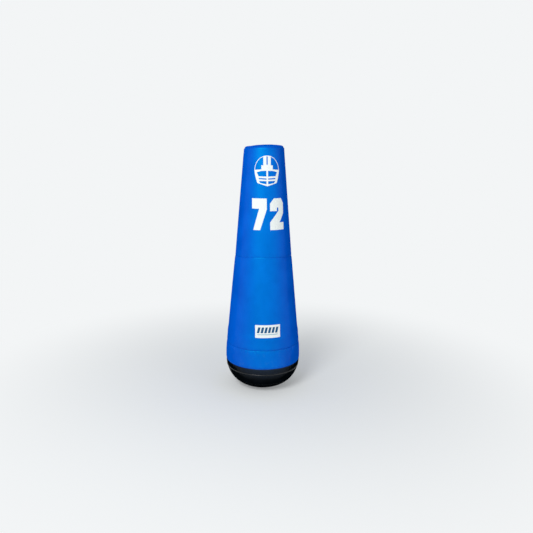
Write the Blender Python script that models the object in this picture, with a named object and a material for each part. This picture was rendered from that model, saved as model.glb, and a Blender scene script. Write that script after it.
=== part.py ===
"""Pop-up tackling dummy, 1.83 m tall.

A sewn vinyl cover in two cone panels, with a round skirt and a black boot, stands over
a weighted plastic tub and an air bladder. Metres, +Z up, origin under the middle of the
flat foot. The printed front faces -Y, the zip and the inflation valve are at the back.
"""

import math

import bmesh
import bpy
from mathutils import Matrix, Vector

# Outline of the inflated cover
HEIGHT = 1.829
BELLY_RADIUS = 0.2835
BELLY_HEIGHT = 0.25
BOWL_DEPTH = 0.26
BOWL_POWER = 2.45
LOWER_CONE_HEIGHT = 0.50
LOWER_CONE_RADIUS = 0.2615
LOWER_SLOPE = 0.0965
UPPER_SLOPE = 0.0835
SHOULDER_RADIUS = 0.027
SHOULDER_HEIGHT = 1.796
CROWN_EDGE_ANGLE = math.radians(84.0)

# Heights of the seams, and how far each draws the inflated cover in
HEM_HEIGHT = 0.2105
WELT_HEIGHT = 0.1646
LOW_SEAM_HEIGHT = 0.3514
MID_SEAM_HEIGHT = 1.035
CAP_SEAM_ANGLE = math.radians(35.0)
SEAM_PULLS = (
    (HEM_HEIGHT, 0.0015, 0.010),
    (LOW_SEAM_HEIGHT, 0.0020, 0.014),
    (MID_SEAM_HEIGHT, 0.0012, 0.022),
)
SEAM_EASE = 0.014
RIM_PUSH_HEIGHT = 0.437
RIM_PUSH = 0.0020
RIM_PUSH_REACH = 0.022

# Thicknesses, and the distances of the inner layers from the outline
COVER_WALL = 0.0030
TAPE_DEPTH = 0.0034
TOP_TAPE_DEPTH = 0.0042
TAPE_WALL = 0.0009
TAPE_HALF_WIDTH = 0.010
WELT_RADIUS = 0.0032
WELT_SIDES = 6
FOOT_SEAM_INSET = 0.010
FOOT_DROP = 0.0006
TUB_DEPTH = 0.0056
TUB_WALL = 0.0040
FILL_DEPTH = TUB_DEPTH + TUB_WALL + 0.0005
BLADDER_DEPTH = 0.0066
BLADDER_WALL = 0.0012
BLADDER_CORNER = 0.030
GAP = 0.0004

# Ballast tub, its lid and what lies on it
FILL_STATIONS = 6
TUB_RIM = 0.4300
RIM_FLANGE_WIDTH = 0.024
RIM_FLANGE_WALL = 0.0050
GASKET_WALL = 0.0015
LID_WALL = 0.0040
LID_RIB_DEPTH = 0.014
LID_BOTTOM = TUB_RIM + GASKET_WALL + 2 * GAP
LID_TOP = LID_BOTTOM + LID_WALL
SCREW_COUNT = 6
SCREW_CIRCLE = 0.2530
SCREW_TURN = math.radians(27.0)
SCREW_SHANK = 0.0025
SCREW_HEAD = 0.0050
SCREW_HEAD_HEIGHT = 0.0035
PLUG_RADIUS = 0.0300
PLUG_FLANGE = 0.0370
PLUG_SEAL_WALL = 0.0010
PAD_RADIUS = 0.2200
PAD_HOLE = 0.0460
PAD_HEIGHT = 0.0200
PAD_TOP = LID_TOP + GAP + PAD_HEIGHT

# Prints and label on the front: middle heights and turns from -Y
HELMET_MIDDLE = -0.0140
HELMET_BASE = 1.5405
HELMET_HALF_WIDTH = 0.092
HELMET_HEIGHT = 0.2125
DIGIT_BASE = 1.2315
DIGIT_HEIGHT = 0.2235
SEVEN_LEFT = -0.1275
SEVEN_WIDTH = 0.1075
TWO_LEFT = 0.0035
TWO_WIDTH = 0.1140
LABEL_TURN = math.radians(-5.3)
LABEL_MIDDLE = 0.498
LABEL_WIDTH = 0.187
LABEL_HEIGHT = 0.094
PRINT_WALL = 0.0008
PRINT_LIFT = 0.0005
PRINT_STEP = 0.018

# Rear zip on the lower cone
ZIP_LOW = 0.530
ZIP_HIGH = 0.975
SLIT_HALF_WIDTH = 0.0072
SLIT_END = 0.0080
COIL_GAP = 0.0004
COIL_WIDTH = 0.0032
COIL_TOP = -0.0012
COIL_BOTTOM = -0.0042
ZIP_TAPE_WIDTH = 0.0160
ZIP_TAPE_TOP = -0.0046
ZIP_TAPE_WALL = 0.0008
SLIDER_LENGTH = 0.0130
SLIDER_HALF_WIDTH = 0.0058
SLIDER_FLANGE = 0.0012
SLIDER_TOP = 0.0012
SLIDER_DROP = 0.0052
BAIL_HALF_LENGTH = 0.0052
BAIL_HEIGHT = 0.0052
BAIL_WALL = 0.0010
BAIL_HALF_WIDTH = 0.0012
PULL_LENGTH = 0.0320
PULL_HALF_WIDTH = 0.0045
PULL_WALL = 0.0012
PULL_AXIS_HEIGHT = 0.0026
STOP_LENGTH = 0.0040

# Inflation valve behind a flap on the upper cone; its axis stands square to the cover
VALVE_HEIGHT = 1.180
PORT_HOLE = 0.0205
PORT_BORE = 0.0175
PORT_LIP = 0.0260
COLLAR_RADIUS = 0.0135
COLLAR_BORE = 0.0090
COLLAR_TOP = 0.0070
NECK_RADIUS = 0.0103
NECK_END = -0.0135
FLANGE_RADIUS = 0.0190
FLANGE_TOP = -0.0047
FLANGE_BOTTOM = -0.0062
SEAT_TOP = -0.0075
SEAT_BOTTOM = -0.0105
SEAT_BORE = 0.0050
MEMBRANE_RADIUS = 0.0075
MEMBRANE_WALL = 0.0008
CAP_RADIUS = 0.0165
CAP_CLEARANCE = 0.0004
CAP_SKIRT_END = 0.0032
CAP_TOP = 0.0096
CAP_BAR_HEIGHT = 0.0028
FLAP_TOP = 0.0500
FLAP_BOTTOM = -0.0620
FLAP_HALF_WIDTH = 0.0460
FLAP_WALL = 0.0016
FLAP_GAP_TOP = 0.0010
FLAP_GAP_BOTTOM = 0.0036
FLAP_HINGE_LIFT = 0.0018
BULGE_HEIGHT = 0.0135
BULGE_FLAT = 0.0175
BULGE_END = 0.0410
STRIP_HALF_WIDTH = 0.0320
STRIP_LOW = -0.0590
STRIP_HIGH = -0.0450
STRIP_WALL = 0.0009

# Sides of the turned solids
SIDES = 40
INNER_SIDES = 20
TUBE_SIDES = 20
SCREW_SIDES = 6
SMOOTH_ANGLE = math.radians(30.0)


def clear_scene():
    """Start from an empty scene."""
    for thing in list(bpy.data.objects):
        bpy.data.objects.remove(thing, do_unlink=True)


def linear(channel):
    """One sRGB channel, 0 to 1, as linear light."""
    if channel <= 0.04045:
        return channel / 12.92
    return ((channel + 0.055) / 1.055) ** 2.4


def make_material(name, colour, roughness, metallic=0.0):
    """A Principled material from an sRGB hex colour."""
    material = bpy.data.materials.new(name)
    material.use_nodes = True
    shader = material.node_tree.nodes["Principled BSDF"]
    channels = [int(colour[i:i + 2], 16) / 255.0 for i in (1, 3, 5)]
    shader.inputs["Base Color"].default_value = [linear(c) for c in channels] + [1.0]
    shader.inputs["Roughness"].default_value = roughness
    shader.inputs["Metallic"].default_value = metallic
    return material


def make_materials():
    """Every finish of the dummy, by its plain name."""
    return {
        "blue_vinyl": make_material("blue_vinyl", "#0a66d6", 0.45),
        "black_vinyl": make_material("black_vinyl", "#0c1015", 0.38),
        "white_ink": make_material("white_ink", "#eef3f2", 0.50),
        "label_vinyl": make_material("label_vinyl", "#f4f5f3", 0.42),
        "seam_tape": make_material("seam_tape", "#123f8c", 0.80),
        "zip_tape": make_material("zip_tape", "#10131a", 0.85),
        "zip_coil": make_material("zip_coil", "#15181d", 0.45),
        "zinc": make_material("zinc", "#8d9094", 0.35, 1.0),
        "hook_fabric": make_material("hook_fabric", "#1a1c20", 0.90),
        "valve_plastic": make_material("valve_plastic", "#1d2024", 0.40),
        "membrane_rubber": make_material("membrane_rubber", "#6a6d70", 0.55),
        "bladder_film": make_material("bladder_film", "#2a2d31", 0.35),
        "foam": make_material("foam", "#5c6066", 0.95),
        "tub_plastic": make_material("tub_plastic", "#23262a", 0.50),
        "gasket_rubber": make_material("gasket_rubber", "#141414", 0.70),
        "screw_steel": make_material("screw_steel", "#9a9da0", 0.35, 1.0),
        "concrete": make_material("concrete", "#8f8c86", 0.95),
    }


def add_solid(name, bm, material, matrix=Matrix.Identity(4), parent=None):
    """Turn a closed bmesh into a named object at the given place."""
    mesh = bpy.data.meshes.new(name)
    bm.to_mesh(mesh)
    bm.free()
    mesh.materials.append(material)
    mesh.shade_smooth()
    mesh.set_sharp_from_angle(angle=SMOOTH_ANGLE)
    solid = bpy.data.objects.new(name, mesh)
    bpy.context.scene.collection.objects.link(solid)
    if parent is not None:
        solid.parent = parent
    solid.matrix_local = matrix
    return solid


def boolean(solid, tool, operation):
    """Cut a hidden tool out of a solid, or weld it on."""
    tool.hide_render = True
    tool.display_type = "WIRE"
    modifier = solid.modifiers.new(operation.lower() + "_" + tool.name, "BOOLEAN")
    modifier.operation = operation
    modifier.solver = "EXACT"
    modifier.object = tool


def turned(profile, sides=SIDES):
    """Spin a profile of (radius, height) points about Z into a closed bmesh.

    A profile that begins and ends on the axis is left open there, any other is closed.
    """
    bm = bmesh.new()
    points = [bm.verts.new((radius, 0.0, height)) for radius, height in profile]
    edges = [bm.edges.new(pair) for pair in zip(points, points[1:])]
    if profile[0][0] > 0.0 or profile[-1][0] > 0.0:
        edges.append(bm.edges.new((points[-1], points[0])))
    bmesh.ops.spin(
        bm, geom=points + edges, cent=(0.0, 0.0, 0.0), axis=(0.0, 0.0, 1.0),
        angle=2.0 * math.pi, steps=sides, use_merge=True,
    )
    bmesh.ops.remove_doubles(bm, verts=bm.verts, dist=1e-6)
    bmesh.ops.recalc_face_normals(bm, faces=bm.faces)
    return bm


def block(low, high):
    """A closed box bmesh between two corners."""
    bm = bmesh.new()
    size = [b - a for a, b in zip(low, high)]
    middle = [(a + b) / 2.0 for a, b in zip(low, high)]
    place = Matrix.Translation(middle) @ Matrix.Diagonal((*size, 1.0))
    bmesh.ops.create_cube(bm, size=1.0, matrix=place)
    return bm


def plate(outlines, wall):
    """A flat plate in XY from an outline and its holes, its lower face at zero height."""
    curve = bpy.data.curves.new("outline", "CURVE")
    curve.dimensions = "2D"
    curve.fill_mode = "BOTH"
    curve.extrude = wall / 2.0
    for outline in outlines:
        spline = curve.splines.new("POLY")
        spline.points.add(len(outline) - 1)
        for point, (x, y) in zip(spline.points, outline):
            point.co = (x, y, wall / 2.0, 1.0)
        spline.use_cyclic_u = True
    holder = bpy.data.objects.new("outline", curve)
    bpy.context.scene.collection.objects.link(holder)
    bpy.context.view_layer.update()
    mesh = bpy.data.meshes.new_from_object(holder)
    bm = bmesh.new()
    bm.from_mesh(mesh)
    bpy.data.objects.remove(holder)
    bpy.data.meshes.remove(mesh)
    bmesh.ops.remove_doubles(bm, verts=bm.verts, dist=1e-6)
    lowest = min(vertex.co.z for vertex in bm.verts)
    bmesh.ops.translate(bm, verts=bm.verts, vec=(0.0, 0.0, -lowest))
    bmesh.ops.recalc_face_normals(bm, faces=bm.faces)
    return bm


def slice_across(bm, axis, step):
    """Cut a bmesh by evenly spaced planes square to an axis, so that it can be bent."""
    low = min(vertex.co[axis] for vertex in bm.verts)
    high = max(vertex.co[axis] for vertex in bm.verts)
    count = math.ceil((high - low) / step)
    normal = Vector((0.0, 0.0, 0.0))
    normal[axis] = 1.0
    for index in range(1, count):
        place = normal * (low + (high - low) * index / count)
        everything = list(bm.verts) + list(bm.edges) + list(bm.faces)
        bmesh.ops.bisect_plane(bm, geom=everything, dist=1e-5, plane_co=place, plane_no=normal)


def cone_radius(height):
    """Radius of the two cone panels, and of their meeting, above the belly."""
    if height <= MID_SEAM_HEIGHT:
        return LOWER_CONE_RADIUS - LOWER_SLOPE * (height - LOWER_CONE_HEIGHT)
    middle = LOWER_CONE_RADIUS - LOWER_SLOPE * (MID_SEAM_HEIGHT - LOWER_CONE_HEIGHT)
    return middle - UPPER_SLOPE * (height - MID_SEAM_HEIGHT)


def belly_radius(height):
    """Radius between the belly and the lower cone, an eased curve."""
    span = LOWER_CONE_HEIGHT - BELLY_HEIGHT
    t = (height - BELLY_HEIGHT) / span
    ease = t * t * (3.0 - 2.0 * t)
    lean = t * t * (t - 1.0)
    return BELLY_RADIUS * (1.0 - ease) + LOWER_CONE_RADIUS * ease - LOWER_SLOPE * span * lean


def outline_radius(height):
    """Outer radius of the inflated cover below its shoulder."""
    if height < BELLY_HEIGHT:
        depth = (BELLY_HEIGHT - height) / BOWL_DEPTH
        radius = BELLY_RADIUS * (1.0 - depth ** BOWL_POWER) ** (1.0 / BOWL_POWER)
    elif height < LOWER_CONE_HEIGHT:
        radius = belly_radius(height)
    else:
        radius = cone_radius(height)
    for seam, pull, reach in SEAM_PULLS:
        radius -= pull * math.exp(-(((height - seam) / reach) ** 2))
    radius += RIM_PUSH * math.exp(-(((height - RIM_PUSH_HEIGHT) / RIM_PUSH_REACH) ** 2))
    return radius


def shoulder_start():
    """Angle at which the shoulder's arc leaves the upper cone, and the arc's centre radius."""
    angle = math.atan(UPPER_SLOPE)
    start_height = SHOULDER_HEIGHT + SHOULDER_RADIUS * math.sin(angle)
    return angle, cone_radius(start_height) - SHOULDER_RADIUS * math.cos(angle)


def shoulder_line(low_angle, high_angle, count):
    """Points on the shoulder's arc from one angle above the horizontal to another."""
    centre = shoulder_start()[1]
    points = []
    for index in range(count + 1):
        angle = low_angle + (high_angle - low_angle) * index / count
        radius = centre + SHOULDER_RADIUS * math.cos(angle)
        points.append((radius, SHOULDER_HEIGHT + SHOULDER_RADIUS * math.sin(angle)))
    return points


def crown_line(count):
    """Points on the low dome, from the shoulder's end to the axis."""
    edge_radius, edge_height = shoulder_line(CROWN_EDGE_ANGLE, CROWN_EDGE_ANGLE, 1)[0]
    rise = HEIGHT - edge_height
    points = []
    for index in range(1, count + 1):
        radius = edge_radius * (1.0 - index / count)
        points.append((radius, HEIGHT - rise * (radius / edge_radius) ** 2))
    return points


def wall_line(heights):
    """Outline points at the given heights."""
    return [(outline_radius(height), height) for height in heights]


def bowl_heights(low, high, count):
    """Heights between two levels of the bowl, spaced evenly round its curve."""
    def turn(height):
        return math.asin(((BELLY_HEIGHT - height) / BOWL_DEPTH) ** (BOWL_POWER / 2.0))

    heights = []
    for index in range(count + 1):
        angle = turn(low) + (turn(high) - turn(low)) * index / count
        heights.append(BELLY_HEIGHT - BOWL_DEPTH * math.sin(angle) ** (2.0 / BOWL_POWER))
    return heights


def boot_heights():
    """Heights of the boot's bowl, from just above the foot's underside to the welt."""
    return bowl_heights(FOOT_DROP, WELT_HEIGHT - WELT_RADIUS - GAP, 6)


def direction(line, index):
    """Unit direction of a line at one of its points; at an end it carries its bend on."""
    chords = [(Vector(b) - Vector(a)).normalized() for a, b in zip(line, line[1:])]
    if 0 < index < len(line) - 1:
        return (Vector(line[index + 1]) - Vector(line[index - 1])).normalized()
    if len(chords) == 1:
        return chords[0]
    near, far = (chords[0], chords[1]) if index == 0 else (chords[-1], chords[-2])
    return (1.5 * near - 0.5 * far).normalized()


def inset(line, depth):
    """A line moved inwards by a depth; it runs up the outside, and may begin or end on the axis."""
    moved = []
    for index, (radius, height) in enumerate(line):
        along = direction(line, index)
        if radius == 0.0:
            along = Vector((math.copysign(1.0, along.x), 0.0))
        moved.append((max(radius - along.y * depth, 0.0), height + along.x * depth))
    return moved


def shell(outer_line, inner_line, depth, wall):
    """Closed profile of a skin that lies a depth inside its outline and has a wall's thickness."""
    return inset(outer_line, depth) + inset(inner_line, depth + wall)[::-1]


def build_cover(finish):
    """The sewn cover from its crown to the skirt, with a tape inside each seam."""
    blue = finish["blue_vinyl"]
    start_angle = shoulder_start()[0]
    seam_gap_angle = GAP / SHOULDER_RADIUS / 2.0

    cap_start = CAP_SEAM_ANGLE + seam_gap_angle
    cap_line = shoulder_line(cap_start, CROWN_EDGE_ANGLE, 3) + crown_line(2)
    add_solid("top_cap", turned(shell(cap_line, cap_line, 0.0, COVER_WALL)), blue)

    seam = MID_SEAM_HEIGHT
    panel_end = CAP_SEAM_ANGLE - seam_gap_angle
    upper_outer = wall_line([seam + GAP / 2, seam + 0.020, seam + 0.050])
    upper_outer += shoulder_line(start_angle, panel_end, 2)
    upper_inner = wall_line([seam + GAP / 2, seam + SEAM_EASE, seam + 0.040])
    upper_inner += shoulder_line(start_angle, panel_end, 2)
    upper = add_solid("upper_panel", turned(shell(upper_outer, upper_inner, 0.0, COVER_WALL)), blue)
    port = turned([(0.0, -0.02), (PORT_HOLE, -0.02), (PORT_HOLE, 0.02), (0.0, 0.02)], TUBE_SIDES)
    port_tool = add_solid("port_tool", port, blue, rear_place(VALVE_HEIGHT))
    boolean(upper, port_tool, "DIFFERENCE")

    low = LOW_SEAM_HEIGHT
    lower_outer = [low + GAP / 2, low + SEAM_EASE, 0.390, 0.415, RIM_PUSH_HEIGHT, 0.460]
    lower_outer += [LOWER_CONE_HEIGHT, seam - 0.050, seam - 0.020, seam - GAP / 2]
    lower_inner = [low + GAP / 2, low + SEAM_EASE, RIM_PUSH_HEIGHT, LOWER_CONE_HEIGHT]
    lower_inner += [seam - 0.040, seam - SEAM_EASE, seam - GAP / 2]
    profile = shell(wall_line(lower_outer), wall_line(lower_inner), 0.0, COVER_WALL)
    lower = add_solid("lower_panel", turned(profile), blue)
    slit_low = zip_along(ZIP_LOW) - SLIT_END
    slit_high = zip_along(ZIP_HIGH) + SLIT_END
    slit = block((-SLIT_HALF_WIDTH, slit_low, -0.02), (SLIT_HALF_WIDTH, slit_high, 0.02))
    slit_tool = add_solid("slit_tool", slit, blue, zip_place())
    boolean(lower, slit_tool, "DIFFERENCE")

    hem = HEM_HEIGHT
    skirt_outer = [hem + GAP / 2, hem + SEAM_EASE, BELLY_HEIGHT, 0.285, 0.315, low - SEAM_EASE]
    skirt_outer.append(low - GAP / 2)
    skirt_inner = [hem + GAP / 2, hem + SEAM_EASE, BELLY_HEIGHT, 0.300, low - SEAM_EASE]
    skirt_inner.append(low - GAP / 2)
    profile = shell(wall_line(skirt_outer), wall_line(skirt_inner), 0.0, COVER_WALL)
    add_solid("skirt_band", turned(profile), blue)

    for name, height in (
        ("mid_seam_tape", MID_SEAM_HEIGHT),
        ("low_seam_tape", LOW_SEAM_HEIGHT),
        ("hem_seam_tape", HEM_HEIGHT),
    ):
        line = wall_line([height - TAPE_HALF_WIDTH, height, height + TAPE_HALF_WIDTH])
        profile = shell(line, line, TAPE_DEPTH, TAPE_WALL)
        add_solid(name, turned(profile, INNER_SIDES), finish["seam_tape"])
    tape_angle = TAPE_HALF_WIDTH / SHOULDER_RADIUS
    line = shoulder_line(CAP_SEAM_ANGLE - tape_angle, CAP_SEAM_ANGLE + tape_angle, 2)
    profile = shell(line, line, TOP_TAPE_DEPTH, TAPE_WALL)
    add_solid("top_seam_tape", turned(profile, INNER_SIDES), finish["seam_tape"])


def build_boot(finish):
    """The black boot: a strip under the hem, a welt, the bowl and the flat foot."""
    black = finish["black_vinyl"]
    welt_space = WELT_RADIUS + GAP

    line = wall_line([WELT_HEIGHT + welt_space, HEM_HEIGHT - SEAM_EASE, HEM_HEIGHT - GAP / 2])
    profile = shell(line, line, 0.0, COVER_WALL)
    add_solid("boot_strip", turned(profile), black)

    welt = []
    welt_middle = outline_radius(WELT_HEIGHT) - 0.0006
    for index in range(WELT_SIDES):
        angle = 2.0 * math.pi * index / WELT_SIDES
        welt.append((
            welt_middle + WELT_RADIUS * math.cos(angle),
            WELT_HEIGHT + WELT_RADIUS * math.sin(angle),
        ))
    add_solid("boot_welt", turned(welt), black)

    bowl_line = wall_line(boot_heights())
    inner = inset(bowl_line, COVER_WALL)
    foot_seam = bowl_line[0][0] - FOOT_SEAM_INSET
    profile = bowl_line + inner[::-1] + [(foot_seam, inner[0][1]), (foot_seam, FOOT_DROP)]
    add_solid("boot_bowl", turned(profile), black)

    disc_radius = foot_seam - GAP
    disc = [(0.0, 0.0), (disc_radius, 0.0), (disc_radius, COVER_WALL), (0.0, COVER_WALL)]
    add_solid("boot_foot", turned(disc), black)


def build_tub(finish):
    """The moulded ballast tub with its inward rim, and the concrete cast in it."""
    heights = boot_heights() + [0.205, BELLY_HEIGHT, 0.300, 0.360, 0.410]
    outer = inset(wall_line(heights), TUB_DEPTH)
    inner = inset(wall_line(heights), TUB_DEPTH + TUB_WALL)
    rim_radius = outline_radius(TUB_RIM) - TUB_DEPTH
    flange_radius = rim_radius - RIM_FLANGE_WIDTH
    flange_low = TUB_RIM - RIM_FLANGE_WALL
    outer = [(0.0, outer[0][1])] + outer + [(rim_radius, TUB_RIM), (flange_radius, TUB_RIM)]
    inner = [(0.0, inner[0][1])] + inner + [(rim_radius - TUB_WALL, flange_low)]
    inner.append((flange_radius, flange_low))
    tub = add_solid("ballast_tub", turned(outer + inner[::-1], INNER_SIDES), finish["tub_plastic"])

    fill = inset(wall_line(heights), FILL_DEPTH)[:FILL_STATIONS]
    fill = [(0.0, fill[0][1])] + fill + [(0.0, fill[-1][1])]
    add_solid("ballast_fill", turned(fill, INNER_SIDES), finish["concrete"])
    return tub


def ring(inner_radius, outer_radius, low, high):
    """Closed profile of a flat ring."""
    return [(inner_radius, low), (outer_radius, low), (outer_radius, high), (inner_radius, high)]


def build_lid(finish, tub):
    """The lid screwed down on the tub's rim, its gasket, filling plug and foam pad."""
    rim_radius = outline_radius(TUB_RIM) - TUB_DEPTH
    flange_radius = rim_radius - RIM_FLANGE_WIDTH
    seal_low = TUB_RIM + GAP
    seal = ring(flange_radius + 0.002, rim_radius - 0.003, seal_low, seal_low + GASKET_WALL)
    gasket = add_solid("lid_gasket", turned(seal, INNER_SIDES), finish["gasket_rubber"])

    rib = flange_radius - 0.006
    hole = PLUG_RADIUS + GAP
    profile = [
        (hole, LID_BOTTOM), (rib - 0.005, LID_BOTTOM), (rib - 0.003, LID_BOTTOM - LID_RIB_DEPTH),
        (rib, LID_BOTTOM - LID_RIB_DEPTH), (rib, LID_BOTTOM), (rim_radius - 0.001, LID_BOTTOM),
        (rim_radius - 0.001, LID_TOP), (hole, LID_TOP),
    ]
    lid = add_solid("tub_lid", turned(profile, INNER_SIDES), finish["tub_plastic"])

    bore = SCREW_SHANK + GAP
    hole_line = [(0.0, -0.020), (bore, -0.020), (bore, 0.010), (0.0, 0.010)]
    head_top = GAP + SCREW_HEAD_HEIGHT
    screw_line = [
        (0.0, -0.018), (SCREW_SHANK * 0.6, -0.018), (SCREW_SHANK, -0.015), (SCREW_SHANK, GAP),
        (SCREW_HEAD, GAP), (SCREW_HEAD * 0.7, head_top), (0.0, head_top),
    ]
    for index in range(SCREW_COUNT):
        angle = SCREW_TURN + 2.0 * math.pi * index / SCREW_COUNT
        place = Matrix.Rotation(angle, 4, "Z") @ Matrix.Translation((SCREW_CIRCLE, 0.0, LID_TOP))
        hole_tool = add_solid(
            f"screw_hole_{index + 1}", turned(hole_line, SCREW_SIDES), finish["tub_plastic"], place
        )
        for drilled in (lid, gasket, tub):
            boolean(drilled, hole_tool, "DIFFERENCE")
        add_solid(
            f"lid_screw_{index + 1}", turned(screw_line, SCREW_SIDES), finish["screw_steel"], place
        )

    seal_low = LID_TOP + GAP
    seal_top = seal_low + PLUG_SEAL_WALL
    seal = ring(PLUG_RADIUS + 0.001, PLUG_FLANGE - 0.001, seal_low, seal_top)
    add_solid("plug_seal", turned(seal, TUBE_SIDES), finish["gasket_rubber"])
    flange_low = seal_top + GAP
    plug = [
        (0.0, LID_BOTTOM - 0.008), (PLUG_RADIUS - 0.001, LID_BOTTOM - 0.008),
        (PLUG_RADIUS, LID_BOTTOM - 0.006), (PLUG_RADIUS, flange_low), (PLUG_FLANGE, flange_low),
        (PLUG_FLANGE, flange_low + 0.003), (0.0, flange_low + 0.003),
    ]
    add_solid("fill_plug", turned(plug, TUBE_SIDES), finish["tub_plastic"])

    pad = ring(PAD_HOLE, PAD_RADIUS, LID_TOP + GAP, PAD_TOP)
    add_solid("foam_pad", turned(pad, INNER_SIDES), finish["foam"])


def build_bladder(finish):
    """The air bladder that fills the cover above the tub, open at the valve."""
    low = PAD_TOP + GAP
    base_radius = outline_radius(low + BLADDER_CORNER) - BLADDER_DEPTH
    line = [(0.0, low)]
    corner_steps = 2
    for index in range(corner_steps + 1):
        angle = math.radians(90.0) * index / corner_steps
        line.append((
            base_radius - BLADDER_CORNER * (1.0 - math.sin(angle)),
            low + BLADDER_CORNER * (1.0 - math.cos(angle)),
        ))
    seam = MID_SEAM_HEIGHT
    wall = wall_line([0.60, seam - 0.050, seam, seam + 0.050])
    wall += shoulder_line(shoulder_start()[0], CROWN_EDGE_ANGLE, 3) + crown_line(1)
    line += inset(wall, BLADDER_DEPTH)
    film = finish["bladder_film"]
    bladder = add_solid("bladder", turned(line, INNER_SIDES), film)
    air = turned(inset(line, BLADDER_WALL), INNER_SIDES)
    boolean(bladder, add_solid("air_tool", air, film), "DIFFERENCE")
    hole = NECK_RADIUS + 0.0008
    line = [(0.0, -0.02), (hole, -0.02), (hole, 0.01), (0.0, 0.01)]
    neck_tool = add_solid("neck_tool", turned(line, TUBE_SIDES), film, rear_place(VALVE_HEIGHT))
    boolean(bladder, neck_tool, "DIFFERENCE")


def wrap(bm, turn, base):
    """Bend a flat plate round the front of the cover, its XY to arc length and height."""
    for vertex in bm.verts:
        height = base + vertex.co.y
        radius = outline_radius(height)
        angle = turn + vertex.co.x / radius
        outer = radius + PRINT_LIFT + vertex.co.z
        vertex.co = (outer * math.sin(angle), -outer * math.cos(angle), height)


def mirror_points(points):
    """The same outline on the other side of the middle line."""
    return [(-x, y) for x, y in points[::-1]]


def helmet_outlines():
    """Front view of a plain football helmet: its outer outline and the gaps in it."""
    half = HELMET_HALF_WIDTH
    waist = 0.106
    crown = HELMET_HEIGHT - waist
    rim = 0.0040
    dome_steps = 12
    dome = []
    for index in range(dome_steps + 1):
        angle = math.pi * index / dome_steps
        dome.append((half * math.cos(angle), waist + crown * math.sin(angle)))
    jaw = [(-half + 0.003, 0.085), (-half + 0.0115, 0.050), (-half + 0.0216, 0.022), (0.0, 0.0)]
    outer = dome + jaw + mirror_points(jaw[:-1])

    stripe = 0.0265
    window = []
    for index in range(6):
        angle = math.radians(5.0 + 67.0 * index / 5)
        window.append(((half - rim) * math.cos(angle), waist + (crown - rim) * math.sin(angle)))
    window[-1] = (stripe, window[-1][1])
    window += [
        (stripe, 0.145), (0.0405, 0.145), (0.0405, 0.1165), (half - rim - 0.003, 0.1135),
    ]
    slit = [(-0.0045, 0.149), (0.0045, 0.149), (0.0045, 0.2065), (-0.0045, 0.2065)]
    bar = 0.0060
    eye = [(bar, 0.0675), (0.062, 0.069), (0.0748, 0.0975), (0.043, 0.106), (bar, 0.1075)]
    upper_gap = [(bar, 0.0455), (0.060, 0.0490), (0.062, 0.0575), (bar, 0.0545)]
    lower_gap = [(bar, 0.0135), (0.050, 0.0220), (0.060, 0.0375), (bar, 0.0350)]
    gaps = [window, eye, upper_gap, lower_gap]
    return [outer, slit] + gaps + [mirror_points(gap) for gap in gaps]


def seven_outline():
    """A block figure seven, its lower left corner at the origin."""
    width = SEVEN_WIDTH
    height = DIGIT_HEIGHT
    bar = height - 0.072
    return [
        (0.0075, 0.0), (0.058, 0.0), (width, bar - 0.004), (width, height), (0.0, height),
        (0.0, bar), (0.053, bar),
    ]


def two_outline():
    """A block figure two with cut corners, its lower left corner at the origin."""
    width = TWO_WIDTH
    height = DIGIT_HEIGHT
    stub = 0.053
    return [
        (0.0, 0.0), (width, 0.0), (width, 0.0525), (0.075, 0.0525), (width - 0.003, 0.116),
        (width - 0.003, height - 0.036), (width - 0.024, height), (0.029, height),
        (0.0, height - 0.036), (0.0, 0.134), (stub, 0.134), (stub, 0.159),
        (0.064, 0.159), (0.067, 0.137), (0.0, 0.056),
    ]


def build_prints(finish):
    """The helmet figure, the number and the bare label on the front."""
    ink = finish["white_ink"]
    for name, outlines, left, base, turn, material in (
        ("helmet_print", helmet_outlines(), HELMET_MIDDLE, HELMET_BASE, 0.0, ink),
        ("number_seven", [seven_outline()], SEVEN_LEFT, DIGIT_BASE, 0.0, ink),
        ("number_two", [two_outline()], TWO_LEFT, DIGIT_BASE, 0.0, ink),
    ):
        bm = plate(outlines, PRINT_WALL)
        bmesh.ops.translate(bm, verts=bm.verts, vec=(left, 0.0, 0.0))
        slice_across(bm, 0, PRINT_STEP)
        wrap(bm, turn, base)
        add_solid(name, bm, material)

    half_width = LABEL_WIDTH / 2.0
    half_height = LABEL_HEIGHT / 2.0
    label = block((-half_width, -half_height, 0.0), (half_width, half_height, PRINT_WALL))
    slice_across(label, 0, PRINT_STEP)
    slice_across(label, 1, 0.017)
    wrap(label, LABEL_TURN, LABEL_MIDDLE)
    add_solid("label_patch", label, finish["label_vinyl"])


def rear_place(height):
    """Frame on the rear of the cover: local Z outwards, local Y up the cone, origin on it."""
    slope = LOWER_SLOPE if height < MID_SEAM_HEIGHT else UPPER_SLOPE
    tilt = math.radians(90.0) - math.atan(slope)
    spot = Matrix.Translation((0.0, cone_radius(height), height))
    return spot @ Matrix.Rotation(-tilt, 4, "X") @ Matrix.Rotation(math.pi, 4, "Z")


def zip_place():
    """Frame of the zip, half way up it."""
    return rear_place((ZIP_LOW + ZIP_HIGH) / 2.0)


def zip_along(height):
    """Distance up the zip from its middle for a height."""
    rise = math.sqrt(1.0 + LOWER_SLOPE ** 2)
    return (height - (ZIP_LOW + ZIP_HIGH) / 2.0) * rise


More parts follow.
